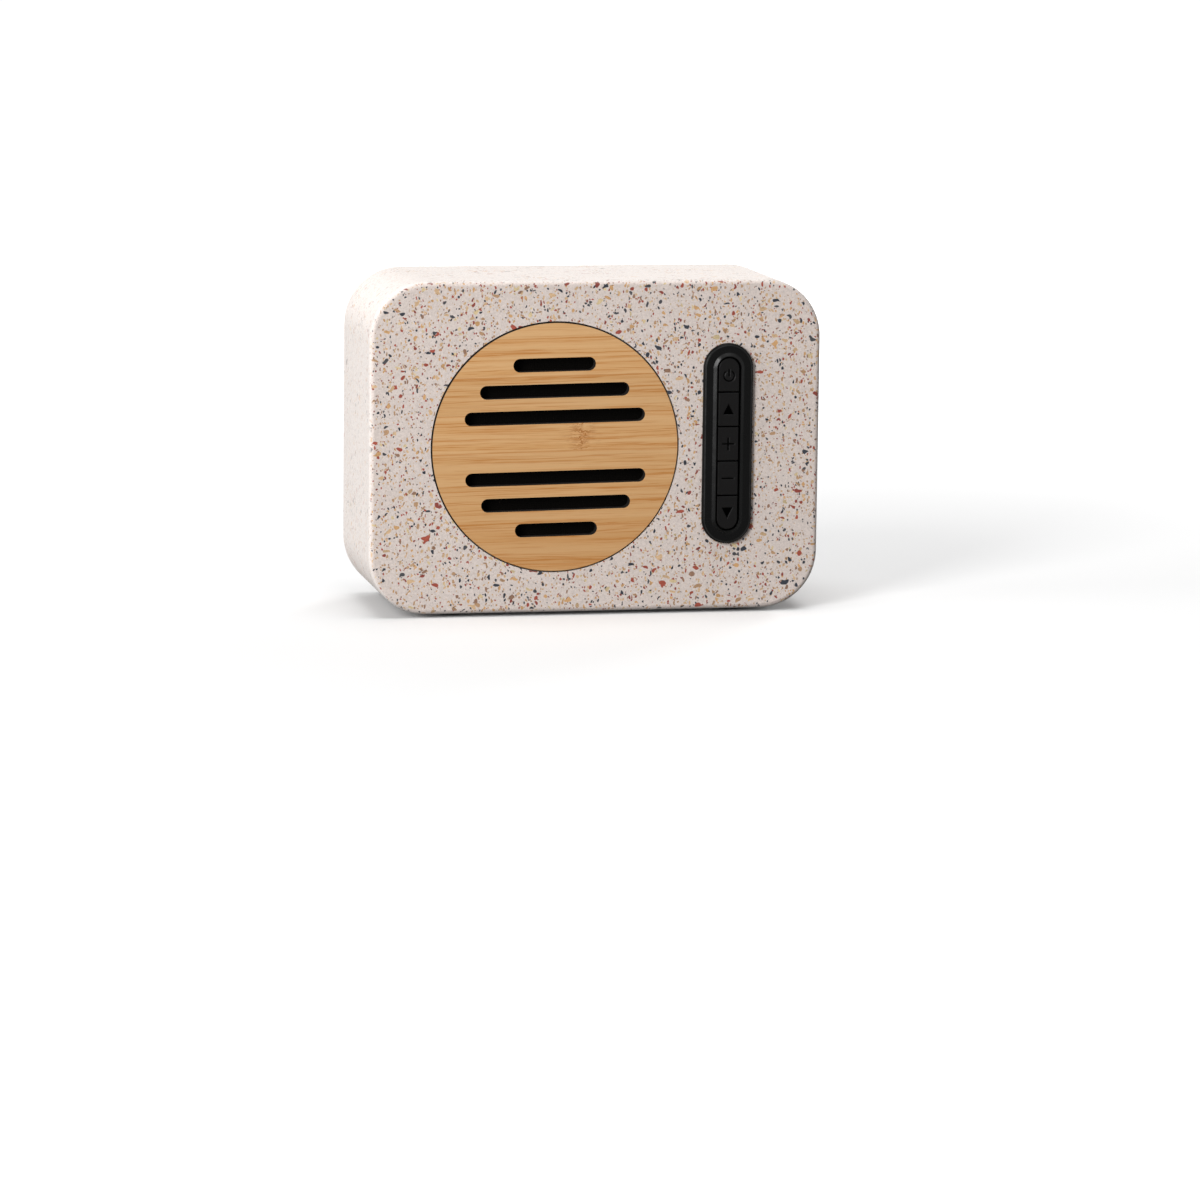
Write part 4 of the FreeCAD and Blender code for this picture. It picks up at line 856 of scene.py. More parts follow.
class Shell:
    """A mesh put together from grids of points, in millimetres of the row frame."""

    def __init__(self) -> None:
        """Starts with no points."""
        self.points: list[np.ndarray] = []
        self.quads: list[np.ndarray] = []
        self.count = 0

    def grid(self, points: np.ndarray, ring: bool = False, loop: bool = False) -> None:
        """Adds a surface of quads between neighbouring points of a grid.

        Args:
            points: an array of rows by columns by three.
            ring: whether each row closes on itself.
            loop: whether the last row joins the first.
        """
        rows, cols = points.shape[:2]
        a, b = np.meshgrid(
            np.arange(rows if loop else rows - 1), np.arange(cols if ring else cols - 1), indexing="ij"
        )
        c, d = (a + 1) % rows, (b + 1) % cols
        corners = np.stack((a * cols + b, c * cols + b, c * cols + d, a * cols + d), -1)
        self.quads.append(corners.reshape(-1, 4) + self.count)
        self.points.append(points.reshape(-1, 3))
        self.count += rows * cols

    def make(self, name: str, sharp: float = 40.0) -> bpy.types.Object:
        """Makes the object: welds the grids' seams and poles, turns faces outwards and shades them.

        Args:
            name: the object's name.
            sharp: the angle in degrees past which an edge stays sharp.

        Returns:
            The object, at the origin.
        """
        points = np.concatenate(self.points) * MM
        quads = np.concatenate(self.quads)
        mesh = bpy.data.meshes.new(name)
        mesh.vertices.add(len(points))
        mesh.vertices.foreach_set("co", points.astype(np.float32).ravel())
        mesh.loops.add(quads.size)
        mesh.loops.foreach_set("vertex_index", quads.astype(np.int32).ravel())
        mesh.polygons.add(len(quads))
        mesh.polygons.foreach_set("loop_start", np.arange(0, quads.size, 4, dtype=np.int32))
        mesh.update(calc_edges=True)
        work = bmesh.new()
        work.from_mesh(mesh)
        bmesh.ops.remove_doubles(work, verts=work.verts, dist=2e-7)
        bmesh.ops.dissolve_degenerate(work, dist=1e-8, edges=work.edges)
        bmesh.ops.recalc_face_normals(work, faces=work.faces)
        work.to_mesh(mesh)
        work.free()
        mesh.polygons.foreach_set("use_smooth", np.ones(len(mesh.polygons), dtype=bool))
        mesh.set_sharp_from_angle(angle=math.radians(sharp))
        made = bpy.data.objects.new(name, mesh)
        bpy.context.scene.collection.objects.link(made)
        return made


def box_mm(node: str) -> tuple[Vector, Vector]:
    """The low and high corners of a CAD node's box, in millimetres."""
    low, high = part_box(node)
    return low / MM, high / MM


def stand_in(made: bpy.types.Object, body: str, node: str) -> bpy.types.Object:
    """Lets a piece ride on a body in place of a CAD node.

    Args:
        made: the piece.
        body: the body that it rides on.
        node: the node that it replaces.

    Returns:
        The piece.
    """
    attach(made, body)
    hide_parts(node)
    return made


def filleted(corners: Sequence[tuple[float, float, float]], steps: int = 6) -> np.ndarray:
    """Rounds the corners of a closed outline: each corner becomes an arc tangent to both its sides.

    Args:
        corners: two coordinates and the round's radius of each corner, in order.
        steps: points on each arc.

    Returns:
        The outline's points, in order.
    """
    table = np.array(corners, float)
    spot, radius = table[:, :2], table[:, 2:]
    come = spot - np.roll(spot, 1, 0)
    leave = np.roll(spot, -1, 0) - spot
    come /= np.linalg.norm(come, axis=1, keepdims=True)
    leave /= np.linalg.norm(leave, axis=1, keepdims=True)
    cross = come[:, :1] * leave[:, 1:] - come[:, 1:] * leave[:, :1]
    bend = np.arctan2(cross, (come * leave).sum(1, keepdims=True))
    side = np.sign(bend)
    inward = np.stack((-come[:, 1], come[:, 0]), 1) * side
    centre = spot - come * radius * np.tan(abs(bend) / 2) + inward * radius
    angle = bend * np.linspace(0, 1, steps)
    out = -inward[:, None, :] * np.cos(angle)[..., None] + come[:, None, :] * np.sin(abs(angle))[..., None]
    return (centre[:, None, :] + radius[:, None, :] * out).reshape(-1, 2)


def pill_round(half_run: float, side_steps: int, arc_steps: int) -> tuple[np.ndarray, np.ndarray]:
    """Goes round an upright pill: up its right side, over its top, down its left side, round its foot.

    The pill of any half width is the core line's points plus the half width times the directions.

    Args:
        half_run: half the length of the pill's core line.
        side_steps: points on each straight side.
        arc_steps: points on each end.

    Returns:
        Points on the core line and outward directions, both with two columns.
    """
    rise = np.linspace(-half_run, half_run, side_steps, endpoint=False)
    bow = np.linspace(0, math.pi, arc_steps, endpoint=False)
    angle = np.concatenate((np.zeros(side_steps), bow, np.full(side_steps, math.pi), bow + math.pi))
    height = np.concatenate((rise, np.full(arc_steps, half_run), -rise, np.full(arc_steps, -half_run)))
    core = np.stack((np.zeros_like(height), height), 1)
    return core, np.stack((np.cos(angle), np.sin(angle)), 1)


def box_distance(x: np.ndarray, z: np.ndarray, half_x: float, half_z: float) -> np.ndarray:
    """Distance to a rectangle's edge, below 0 inside it: the larger of the two axes' overshoots."""
    return np.maximum(abs(x) - half_x, abs(z) - half_z)


@dataclass(frozen=True)
class SignSize:
    """Sizes of the signs, in millimetres; gap is half the angle of the power sign's opening, in radians."""

    stroke: float = 0.5
    drop: float = 0.25
    arc: float = 1.28
    gap: float = 0.66
    bar_middle: float = 0.75
    bar_half: float = 0.95
    arm: float = 1.6
    foot: float = 1.25
    half_base: float = 1.33
    rise: float = 2.6


class Sign(Enum):
    """What is sunk into a key's face."""

    POWER = "power"
    UP = "up"
    PLUS = "plus"
    MINUS = "minus"
    DOWN = "down"

    def distance(self, x: np.ndarray, z: np.ndarray, size: SignSize) -> np.ndarray:
        """How far each point is outside the sign's outline, in millimetres; below 0 inside.

        The power sign is an arc with its top left open, and a bar. The triangles are the largest of three
        half-plane distances. Plus and minus are rectangles.

        Args:
            x: places across the key from the sign's middle.
            z: places up the key.
            size: the signs' sizes.

        Returns:
            The distances.
        """
        half = size.stroke / 2
        if self is Sign.POWER:
            z = z + size.drop
            turn = np.arctan2(abs(x), z)
            arc = abs(np.hypot(x, z) - size.arc)
            tip = np.hypot(abs(x) - size.arc * math.sin(size.gap), z - size.arc * math.cos(size.gap))
            bow = np.where(turn < size.gap, tip, arc) - half
            return np.minimum(bow, box_distance(x, z - size.bar_middle, half, size.bar_half))
        flat = box_distance(x, z, size.arm, half)
        if self is Sign.MINUS:
            return flat
        if self is Sign.PLUS:
            return np.minimum(flat, box_distance(x, z, half, size.arm))
        up = size.foot + (z if self is Sign.UP else -z)
        side = (up - size.rise) * size.half_base + abs(x) * size.rise
        return np.maximum(side / math.hypot(size.half_base, size.rise), -up)


class End(Enum):
    """Which end of a key is round."""

    NONE = 0
    TOP = 1
    BOTTOM = -1


@dataclass
class Key:
    """One key of the strip: its face with a sunk sign, its flange and its stem."""

    name: str
    sign: Sign
    end: End
    half_width: float = 2.55
    half_height: float = 4.03
    edge: float = 0.25
    flange_grow: float = 1.15
    flange_half: float = 3.98
    flange_front: float = 2.65
    flange_back: float = 3.65
    flange_step: float = 0.3
    stem_radius: float = 1.2
    stem_points: int = 40
    pit: tuple[float, float] = (0.26, 0.22)
    groove: tuple[float, float] = (0.17, 0.34)
    shade_from: float = 0.8
    size: SignSize = SignSize()
    step: float = 0.065

    def outline(self, grow: float, foot: float, step: float) -> np.ndarray:
        """A grid over the key's face, square or with one round end.

        The square part is evenly spaced. The round part is the upper half of a square that is bent onto a
        half disc: across = u times the root of 1 - v squared / 2, up = v times the root of 1 - u squared / 2.

        Args:
            grow: how far the outline is outside the key's edge.
            foot: height of the square end below the key's middle.
            step: grid spacing.

        Returns:
            Places across and up, as rows by columns by two, from the key's middle.
        """
        wide = self.half_width + grow
        cols = int(2 * self.half_width / step) | 1
        u = np.linspace(-1, 1, cols)
        head = foot if self.end is End.NONE else self.half_height - self.half_width
        rows = int(2 * self.half_height / step)
        flat = np.stack(np.meshgrid(u * wide, np.linspace(-foot, head, rows)), -1)
        if self.end is End.NONE:
            return flat
        s, t = np.meshgrid(u, np.linspace(0, 1, int(self.half_width / step))[1:])
        bow = np.stack((s * np.sqrt(1 - t * t / 2), t * np.sqrt(1 - s * s / 2)), -1) * wide
        whole = np.concatenate((flat, bow + (0, head)))
        return whole if self.end is End.TOP else -whole

    @staticmethod
    def rim(face: np.ndarray) -> np.ndarray:
        """The grid's border, once round."""
        return np.concatenate((face[0, :-1], face[:-1, -1], face[-1, :0:-1], face[:0:-1, 0]))

    @staticmethod
    def lift(flat: np.ndarray, middle: Vector, depth: np.ndarray) -> np.ndarray:
        """Places on the strip's face, put in the row frame at depths behind the key's front."""
        return np.stack((middle.x + flat[..., 0], middle.y + depth, middle.z + flat[..., 1]), -1)

    def ring(self, flat: np.ndarray, middle: Vector, depth: float) -> np.ndarray:
        """One row of points at a single depth."""
        return self.lift(flat, middle, np.full(flat.shape[:-1], depth))

    def plug(self, shell: Shell, flat: np.ndarray, middle: Vector, front: float, back: float) -> None:
        """Adds a closed slab: an outline carried from one depth to another, with a pole in each face.

        Args:
            shell: the mesh.
            flat: the outline, once round.
            middle: the key's middle.
            front: depth of the slab's front.
            back: depth of its back.
        """
        pole = np.broadcast_to(flat.mean(0), flat.shape)
        rows = [(pole, front), (flat, front), (flat, back), (pole, back)]
        shell.grid(np.stack([self.ring(f, middle, d) for f, d in rows]), ring=True)

    def middle(self) -> Vector:
        """Finds the middle of the key's face: of its box, less what the flange adds past a round end.

        Returns:
            The middle, at the key's front.
        """
        low, high = box_mm(self.name + "_key")
        shift = self.end.value * self.flange_grow / 2
        return Vector(((low.x + high.x) / 2, low.y, (low.z + high.z) / 2 - shift))

    def carve(self) -> tuple[float, float]:
        """The sign's depth and the width of its sloped wall: triangles are pits, and lines are grooves."""
        return self.pit if self.sign in (Sign.UP, Sign.DOWN) else self.groove

    def sign_share(self, flat: np.ndarray) -> np.ndarray:
        """How much of its full depth the sign has at each place: 1 inside, falling over its wall."""
        outside = self.sign.distance(flat[..., 0], flat[..., 1], self.size)
        return np.clip(0.5 - outside / self.carve()[1], 0, 1)

    def build(self) -> bpy.types.Object:
        """Makes the key: a face grid sunk by the sign, an edge round and wall swept about its border,
        and the flange and stem that hold it in the bezel.

        Returns:
            The key, riding on its own body.
        """
        middle = self.middle()
        shell = Shell()
        face = self.outline(-self.edge, self.half_height - self.edge, self.step)
        shell.grid(self.lift(face, middle, self.sign_share(face) * self.carve()[0]))
        bow = np.linspace(0, math.pi / 2, 6)
        grows = [*(self.edge * (np.sin(bow) - 1)), 0.0]
        depths = [*(self.edge * (1 - np.cos(bow))), self.flange_front]
        loops = [self.rim(self.outline(g, self.half_height + g, self.step)) for g in grows]
        pole = np.broadcast_to(loops[-1].mean(0), loops[-1].shape)
        sides = [self.ring(f, middle, d) for f, d in zip([*loops, pole], [*depths, self.flange_front])]
        shell.grid(np.stack(sides), ring=True)
        flange = self.rim(self.outline(self.flange_grow, self.flange_half, self.flange_step))
        self.plug(shell, flange, middle, self.flange_front, self.flange_back)
        angle = np.linspace(0, 2 * math.pi, self.stem_points, endpoint=False)
        stem = np.stack((np.cos(angle), np.sin(angle)), 1) * self.stem_radius
        self.plug(shell, stem, middle, self.flange_back, box_mm(self.name + "_key")[1].y - middle.y)
        return stand_in(shell.make(self.name + "_key_cap"), self.name, self.name + "_key")

    def sign_shade(self, made: bpy.types.Object, finish: Finish) -> None:
        """Gives the floor of the sunk sign a second finish, near black and matte: painted shade for the deep
        floor.

        Args:
            made: the key, which has its first finish.
            finish: the finish of the painted shade.
        """
        made.data.materials.append(finish.material())
        middles = np.empty(len(made.data.polygons) * 3, np.float32)
        made.data.polygons.foreach_get("center", middles)
        middles = middles.reshape(-1, 3) / MM - np.array(self.middle())
        shaded = (middles[:, 1] < self.edge * 2) & (self.sign_share(middles[:, ::2]) > self.shade_from)
        made.data.polygons.foreach_set("material_index", shaded.astype(np.int32))


def wear(finish: Finish, *pieces: bpy.types.Object | str) -> None:
    """Gives pieces or CAD nodes a finish, and reports each.

    Args:
        finish: the finish.
        pieces: objects, or the names of CAD nodes.
    """
    for piece in pieces:
        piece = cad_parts[piece] if isinstance(piece, str) else piece
        piece.data.materials.clear()
        piece.data.materials.append(finish.material())
        LOG.info("%s: %s", piece.name, finish.name)


@dataclass
class CastBody:
    """The one-piece cast body and its rubber feet."""

    rubber: Moulded = Moulded("foot_rubber_black", (0.012, 0.012, 0.0125), 0.78, 0.25, 0.02, 0.2)

    def dress(self) -> None:
        """Finishes the body and the feet."""
        low, high = box_mm("cast_body")
        wear(CastStone("cast_stone_chips", low.y, high.y), "cast_body")
        wear(self.rubber, "rubber_feet")


@dataclass
class Grille:
    """The bamboo disc and the acoustic cloth behind its slots."""

    turned: float = 1.0
    rings: int = 60
    spokes: int = 180
    tension: float = 0.03
    weave: Woven = Woven("acoustic_cloth_black", (0.003, 0.0025, 0.002), 0.42, 0.0)

    def build_cloth(self) -> bpy.types.Object:
        """Makes the cloth: a disc of rings and spokes, front and back, glued flat at its edge and drawn in
        by a hair towards its middle, by tension times 1 - radius squared.

        Returns:
            The cloth.
        """
        low, high = box_mm("grille_cloth")
        middle, radius = (low + high) / 2, (high.x - low.x) / 2
        share = np.linspace(0, 1, self.rings)
        dip = self.tension * (1 - share**2)
        reach = np.concatenate((share, share[::-1])) * radius
        depth = np.concatenate((low.y + dip, high.y - dip[::-1]))
        angle = np.linspace(0, 2 * math.pi, self.spokes, endpoint=False)
        x = middle.x + reach[:, None] * np.cos(angle)
        z = middle.z + reach[:, None] * np.sin(angle)
        shell = Shell()
        shell.grid(np.stack((x, np.broadcast_to(depth[:, None], x.shape), z), -1), ring=True)
        made = stand_in(shell.make("grille_cloth_sheet", 60.0), HOUSING, "grille_cloth")
        side = 2 * radius * MM
        math.pi * side * side / 4
        return made

    def dress(self) -> None:
        """Finishes the disc and the cloth."""
        low, high = box_mm("grille_disc")
        middle = (low + high) / 2
        wear(Bamboo("bamboo_strips", (middle.x, middle.z), low.y, self.turned), "grille_disc")
        wear(self.weave, self.build_cloth())


@dataclass
class ControlStrip:
    """The stepped bezel, its five keys, and the switches and board behind them."""

    half_run: float = 18.2
    opening: float = 2.9
    land: float = 3.05
    bevel: float = 3.8
    outer: float = 6.1
    neck: float = 5.1
    neck_inner: float = 4.1
    ring_step: float = 0.5
    round: float = 0.6
    break_edge: float = 0.07
    plate_back: float = 2.7
    hook_height: float = 10.5
    hook_half: float = 3.0
    hook_lip: float = 0.6
    hook_depth: float = 0.9
    hook_root: float = 0.2
    hook_slope: float = 0.5
    bevel_round: float = 0.2
    foot_round: float = 0.03
    root_round: float = 0.05
    plate_round: float = 0.1
    bezel: MouldedPaintedHighlight = MouldedPaintedHighlight("bezel_black_gloss", (0.0010, 0.0010, 0.0010), 0.30, 0.35, 0.002, 0.085)
    key: Moulded = Moulded("key_black_satin", (0.0060, 0.0056, 0.0056), 0.36, 0.22, 0.005, 0.08)
    # Painted shade: the near-black, matte floor of each sunk sign.
    sign_shade: Moulded = Moulded("key_sign_black", (0.0008, 0.0008, 0.0008), 0.9, 0.22, 0.005, 0.0)
    plunger: Moulded = Moulded("plunger_black", (0.014, 0.013, 0.013), 0.5, 0.3, 0.01)
    can: Moulded = Moulded("switch_can_black", (0.02, 0.02, 0.021), 0.45, 0.3, 0.01)
    board: Board = Board("key_board_green", flat=(0, 2))
    screw: Metal = Metal("screw_black_steel", (0.06, 0.06, 0.066), 0.34, (1.5, 1.5, 1.5))
    brass: Metal = Metal("insert_brass", (0.74, 0.51, 0.20), 0.30, (0.4, 6.0, 0.4))
    socket: Moulded = Moulded("socket_ivory", (0.70, 0.66, 0.54), 0.5, 0.3, 0.01, 0.4)

    def profile(self, proud: float, deep: float) -> np.ndarray:
        """The bezel's section: half widths of the pill against depth behind the bezel's front.

        From the opening it goes over the land, down the bevel, across the ring, over its round shoulder to
        the body, back along the neck, and forward again inside to the plate that holds the keys.

        Args:
            proud: how far the bezel stands out of the body.
            deep: how far back the neck ends.

        Returns:
            The section's points, with two columns.
        """
        edge = self.break_edge
        return filleted(
            (
                (self.opening, 0.0, edge),
                (self.land, 0.0, edge),
                (self.bevel, self.ring_step, self.bevel_round),
                (self.outer, self.ring_step, self.round),
                (self.outer, proud, self.foot_round),
                (self.neck, proud, self.root_round),
                (self.neck, deep, edge),
                (self.neck_inner, deep, edge),
                (self.neck_inner, self.plate_back, self.plate_round),
                (self.opening, self.plate_back, self.root_round),
            ),
            8,
        )

    def build_bezel(self) -> bpy.types.Object:
        """Makes the bezel: its section carried round the pill, and four hooks on its neck.

        Returns:
            The bezel.
        """
        low, high = box_mm("control_bezel")
        middle = (low + high) / 2
        section = self.profile(box_mm("cast_body")[0].y - low.y, high.y - low.y)
        core, out = pill_round(self.half_run, 40, 72)
        flat = core[None] + section[:, 0, None, None] * out[None]
        depth = np.broadcast_to(low.y + section[:, 1, None], flat.shape[:2])
        skin = np.stack((middle.x + flat[..., 0], depth, middle.z + flat[..., 1]), -1)
        shell = Shell()
        shell.grid(skin, ring=True, loop=True)
        for side in (-1, 1):
            for up in (-1, 1):
                self.hook(shell, middle, side, up * self.hook_height, high.y)
        return stand_in(shell.make("control_bezel_ring", 35.0), HOUSING, "control_bezel")

    def hook(self, shell: Shell, middle: Vector, side: int, rise: float, back: float) -> None:
        """Adds one hook: a wedge section, carried along the neck, with a pole in each end.

        Args:
            shell: the mesh.
            middle: the bezel's middle.
            side: -1 for the left of the neck, 1 for the right.
            rise: the hook's height above the strip's middle.
            back: where the neck ends.
        """
        root, tip = self.neck - self.hook_root, self.neck + self.hook_lip
        front = back - self.hook_depth
        wedge = np.array(
            ((root, front), (tip, front), (tip, back - self.hook_slope), (self.neck, back), (root, back))
        )
        pole = np.broadcast_to(wedge.mean(0), wedge.shape)
        ends = np.array([-1.0, -1.0, 1.0, 1.0]) * self.hook_half + rise + middle.z
        rows = np.stack((pole, wedge, wedge, pole))
        heights = np.broadcast_to(ends[:, None], rows.shape[:2])
        shell.grid(np.stack((middle.x + side * rows[..., 0], rows[..., 1], heights), -1), ring=True)

    def dress(self) -> None:
        """Builds the bezel and the keys, and finishes what is behind them."""
        wear(self.bezel, self.build_bezel())
        keys = (
            Key("power", Sign.POWER, End.TOP),
            Key("track_forward", Sign.UP, End.NONE),
            Key("volume_up", Sign.PLUS, End.NONE),
            Key("volume_down", Sign.MINUS, End.NONE),
            Key("track_back", Sign.DOWN, End.BOTTOM),
        )
        for key in keys:
            cap = key.build()
            wear(self.key, cap)
            key.sign_shade(cap, self.sign_shade)
            wear(self.plunger, key.name + "_plunger")
        wear(self.can, "key_switches")
        wear(self.board, "key_board")
        wear(self.screw, "key_board_screws", "driver_screws")
        wear(self.brass, "key_board_inserts", "driver_inserts", "panel_inserts")
        wear(self.socket, "key_board_socket", "board_sockets")


@dataclass
class FlexRing:
    """A thin ring about the driver's axis, held at its outside and carried by the cone at its inside.

    It is made in equal sectors.
    A section is rows of radius and depth behind the ring's back face, in millimetres.
    """

    node: str
    slot: str
    finish: Finish
    front: np.ndarray
    back: np.ndarray
    held: float
    carried: float
    sectors: int = 12
    spokes: int = 9

    def swept(self, section: np.ndarray, angle: np.ndarray) -> np.ndarray:
        """Turns a section about the driver's axis.

        Args:
            section: the section.
            angle: the angles, in radians.

        Returns:
            Points in millimetres, as rows by angles by three.
        """
        low, high = box_mm(self.node)
        middle = (low + high) / 2
        reach, depth = section[:, :1], section[:, 1:]
        x, z = middle.x + reach * np.cos(angle), middle.z + reach * np.sin(angle)
        return np.stack((x, np.broadcast_to(high.y + depth, x.shape), z), -1)

    def make(self) -> None:
        """Makes the sectors, closed on all sides, in place of the CAD node, and finds where each one's middle
        line runs from the housing to the cone.
        """
        half = math.pi / self.sectors
        span = np.linspace(-half, half, self.spokes)
        bend = np.array(((self.held * math.cos(half), 0.0), (self.carried, 0.0)))
        for number in range(self.sectors):
            turn = 2 * half * number
            sides = [self.swept(section, span + turn) for section in (self.front, self.back)]
            shell = Shell()
            for side in sides:
                shell.grid(side)
            for edge in (0, -1):
                shell.grid(np.stack([side[edge] for side in sides]))
                shell.grid(np.stack([side[:, edge] for side in sides]))
            made = shell.make(f"{self.node}_{number + 1:02d}")
            start, end = self.swept(bend, np.array((turn,)))[:, 0] * MM
            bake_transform(made)
            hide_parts(self.node)
            wear(self.finish, made)


@dataclass
class Driver:
    """The loudspeaker behind the grille. Lengths are in millimetres."""

    lip: float = 2.0
    roll_width: float = 3.6
    rubber_skin: float = 0.4
    rim: float = 1.1
    neck: float = 6.8
    land: float = 1.0
    seat: float = 2.0
    cloth_skin: float = 0.3
    waves: int = 3
    wave: float = 0.45
    wave_points: int = 16
    roll_points: int = 25
    winding: float = 2.8
    roll: Moulded = Moulded("surround_rubber", (0.013, 0.013, 0.014), 0.62, 0.5, 0.01, 0.35)
    pulp: Pulp = Pulp("cone_pulp")
    spider: Woven = Woven("spider_cotton", (0.50, 0.33, 0.13), 0.5, 0.1)
    pressed: Metal = Metal("frame_black_steel", (0.035, 0.035, 0.038), 0.42, (0.5, 3.0, 0.5), 0.15, 0.6)
    plated: Metal = Metal("zinc_plate", (0.56, 0.55, 0.51), 0.3, (0.6, 5.0, 0.6))
    ferrite: Sintered = Sintered("ferrite_ring")
    terminal: Board = Board("terminal_board", (0.20, 0.09, 0.03), (0.24, 0.11, 0.04), flat=(0, 2))
    foam: Foam = Foam("seal_foam_black")

    def surround_ring(self) -> FlexRing:
        """The rubber surround: two flat lips and a roll between them, whose two faces are half circles.

        Returns:
            The ring.
        """
        low, high = box_mm("driver_surround")
        outer = (high.x - low.x) / 2
        mouth = outer - self.lip
        inner = mouth - self.roll_width
        roll = self.roll_width / 2
        crown = roll + self.rubber_skin
        sections = []
        for radius, first in ((crown, math.asin(self.rubber_skin / crown)), (roll, 0.0)):
            turn = np.linspace(first, math.pi - first, self.roll_points)
            level = (-radius * math.sin(first),)
            reach = np.concatenate(((outer,), inner + roll + radius * np.cos(turn), (inner - self.rim,)))
            sections.append(np.stack((reach, np.concatenate((level, -radius * np.sin(turn), level))), -1))
        return FlexRing("driver_surround", "surround_rubber", self.roll, *sections, mouth, inner)

    def spider_ring(self) -> FlexRing:
        """The spider: cosine waves from the cone's neck out to a flat land on the frame's seat.

        Returns:
            The ring.
        """
        low, high = box_mm("driver_spider")
        outer = (high.x - low.x) / 2
        turn = np.linspace(0, 2 * math.pi * self.waves, self.waves * self.wave_points + 1)
        reach = np.append(np.linspace(self.neck, outer - self.land, len(turn)), outer)
        back = np.stack((reach, np.append(self.wave * (np.cos(turn) - 1) / 2, 0.0)), -1)
        front = back - (0.0, self.cloth_skin)
        return FlexRing("driver_spider", "spider_cloth", self.spider, front, back, outer - self.seat, self.neck)

    def dress(self) -> None:
        """Finishes the driver's pieces."""
        self.surround_ring().make()
        self.spider_ring().make()
        wear(self.pulp, "driver_cone", "driver_dust_cap")
        wear(self.pressed, "driver_frame")
        wear(self.plated, "driver_top_plate", "driver_yoke", "usb_shell", "radio_shield")
        wear(self.ferrite, "driver_magnet")
        wear(self.terminal, "driver_terminals")
        wear(self.foam, "driver_gasket", "panel_seal", "battery_tape")
        wear(Winding("coil_winding", box_mm("voice_coil")[1].y - self.winding), "voice_coil")


@dataclass
class ScrewHead:
    """A round-headed screw with a cross recess, its head towards the back."""

    head: float = 1.8
    height: float = 1.3
    edge: float = 0.15
    shank: float = 1.0
    length: float = 6.2
    crown: float = 0.35
    arm: float = 0.95
    slot: float = 0.26
    sunk: float = 0.7
    wall: float = 0.1
    fade: float = 0.75
    top_rings: int = 26

    def rows(self, turn: float, spokes: int = 72) -> np.ndarray:
        """The screw as rings about its axis: the domed head's top, its side, its seat, and the shank.

        The top falls by crown times radius squared. The cross is sunk where either arm's distance is below
        0, and gets shallower towards the arms' ends.

        Args:
            turn: the cross's angle in radians.
            spokes: points on each ring.

        Returns:
            Across, up and depth below the head's top, as rings by spokes by three.
        """
        angle = np.linspace(0, 2 * math.pi, spokes, endpoint=False)
        top = np.linspace(0, self.head - self.edge, self.top_rings)
        bow = np.linspace(0, math.pi / 2, 5)[1:]
        brim = self.head - self.edge + self.edge * np.sin(bow)
        reach = np.concatenate((top, brim, (self.head, self.shank, self.shank, 0.0)))
        x, z = reach[:, None] * np.cos(angle), reach[:, None] * np.sin(angle)
        dome = self.crown * (top / self.head) ** 2
        fall = dome[-1] + self.edge * (1 - np.cos(bow))
        depth = np.concatenate((dome, fall, (self.height, self.height, self.length, self.length)))
        u, v = np.cos(turn) * x + np.sin(turn) * z, np.cos(turn) * z - np.sin(turn) * x
        cross = np.minimum(box_distance(u, v, self.arm, self.slot), box_distance(u, v, self.slot, self.arm))
        taper = 1 - self.fade * np.hypot(x, z) / self.arm
        sink = np.clip(0.5 - cross / self.wall, 0, 1) * self.sunk * np.clip(taper, 0.1, 1)
        sink[self.top_rings:] = 0
        return np.stack((x, z, depth[:, None] + sink), -1)


@dataclass
class BackPanel:
    """The back panel with its screws and the charging receptacle."""

    turns: tuple[float, ...] = (0.35, 1.2, 0.8, 0.1)
    panel: Moulded = Moulded("panel_black_spark", (0.012, 0.012, 0.0125), 0.62, 0.42, 0.035, 0.3)
    screw: Metal = Metal("panel_screw_black", (0.075, 0.075, 0.082), 0.3, (1.5, 1.5, 1.5))

    def build_screws(self) -> bpy.types.Object:
        """Makes the four screws, one in each corner of the panel, each turned its own way.

        Returns:
            The screws, in one object.
        """
        low, high = box_mm("panel_screws")
        screw = ScrewHead()
        inset = screw.head
        shell = Shell()
        sides, ends = (low.x + inset, high.x - inset), (low.z + inset, high.z - inset)
        for (x, z), turn in zip([(x, z) for x in sides for z in ends], self.turns):
            rows = screw.rows(turn)
            shell.grid(np.stack((x + rows[..., 0], high.y - rows[..., 2], z + rows[..., 1]), -1), ring=True)
        return stand_in(shell.make("panel_screws_cross", 35.0), HOUSING, "panel_screws")

    def dress(self) -> None:
        """Finishes the panel, the screws and the receptacle's tongue."""
        wear(self.panel, "back_panel")
        wear(self.screw, self.build_screws())
        low, high = box_mm("usb_tongue")
        wear(Contacts("tongue_contacts", (low.x + high.x) / 2, high.y), "usb_tongue")


@dataclass
class Inside:
    """Boards, battery and leads."""

    board: Board = Board("main_board_green")
    guard: Board = Board("guard_board_green", flat=(0, 2))
    chip: Moulded = Moulded("chip_black", (0.016, 0.016, 0.017), 0.55, 0.2, 0.01, 0.35)
    capacitor: Metal = Metal("capacitor_can", (0.68, 0.68, 0.69), 0.26, (0.5, 0.5, 5.0), 0.1)
    cell: Pouch = Pouch("cell_pouch")
    lead: Moulded = Moulded("lead_red", (0.30, 0.012, 0.010), 0.42, 0.4, 0.006, 0.4)
    driver_lead: Moulded = Moulded("lead_black", (0.014, 0.014, 0.015), 0.42, 0.4, 0.006, 0.4)

    def dress(self) -> None:
        """Finishes every piece inside."""
        wear(self.board, "main_board")
        wear(self.guard, "battery_guard_board")
        wear(self.chip, "board_chips")
        wear(self.capacitor, "board_capacitors")
        wear(self.cell, "battery_cell")
        wear(self.lead, "battery_leads")
        wear(self.driver_lead, "driver_leads")
        low, high = box_mm("key_ribbon")
        wear(Ribbon("key_ribbon_cover", (low.x + high.x) / 2), "key_ribbon")


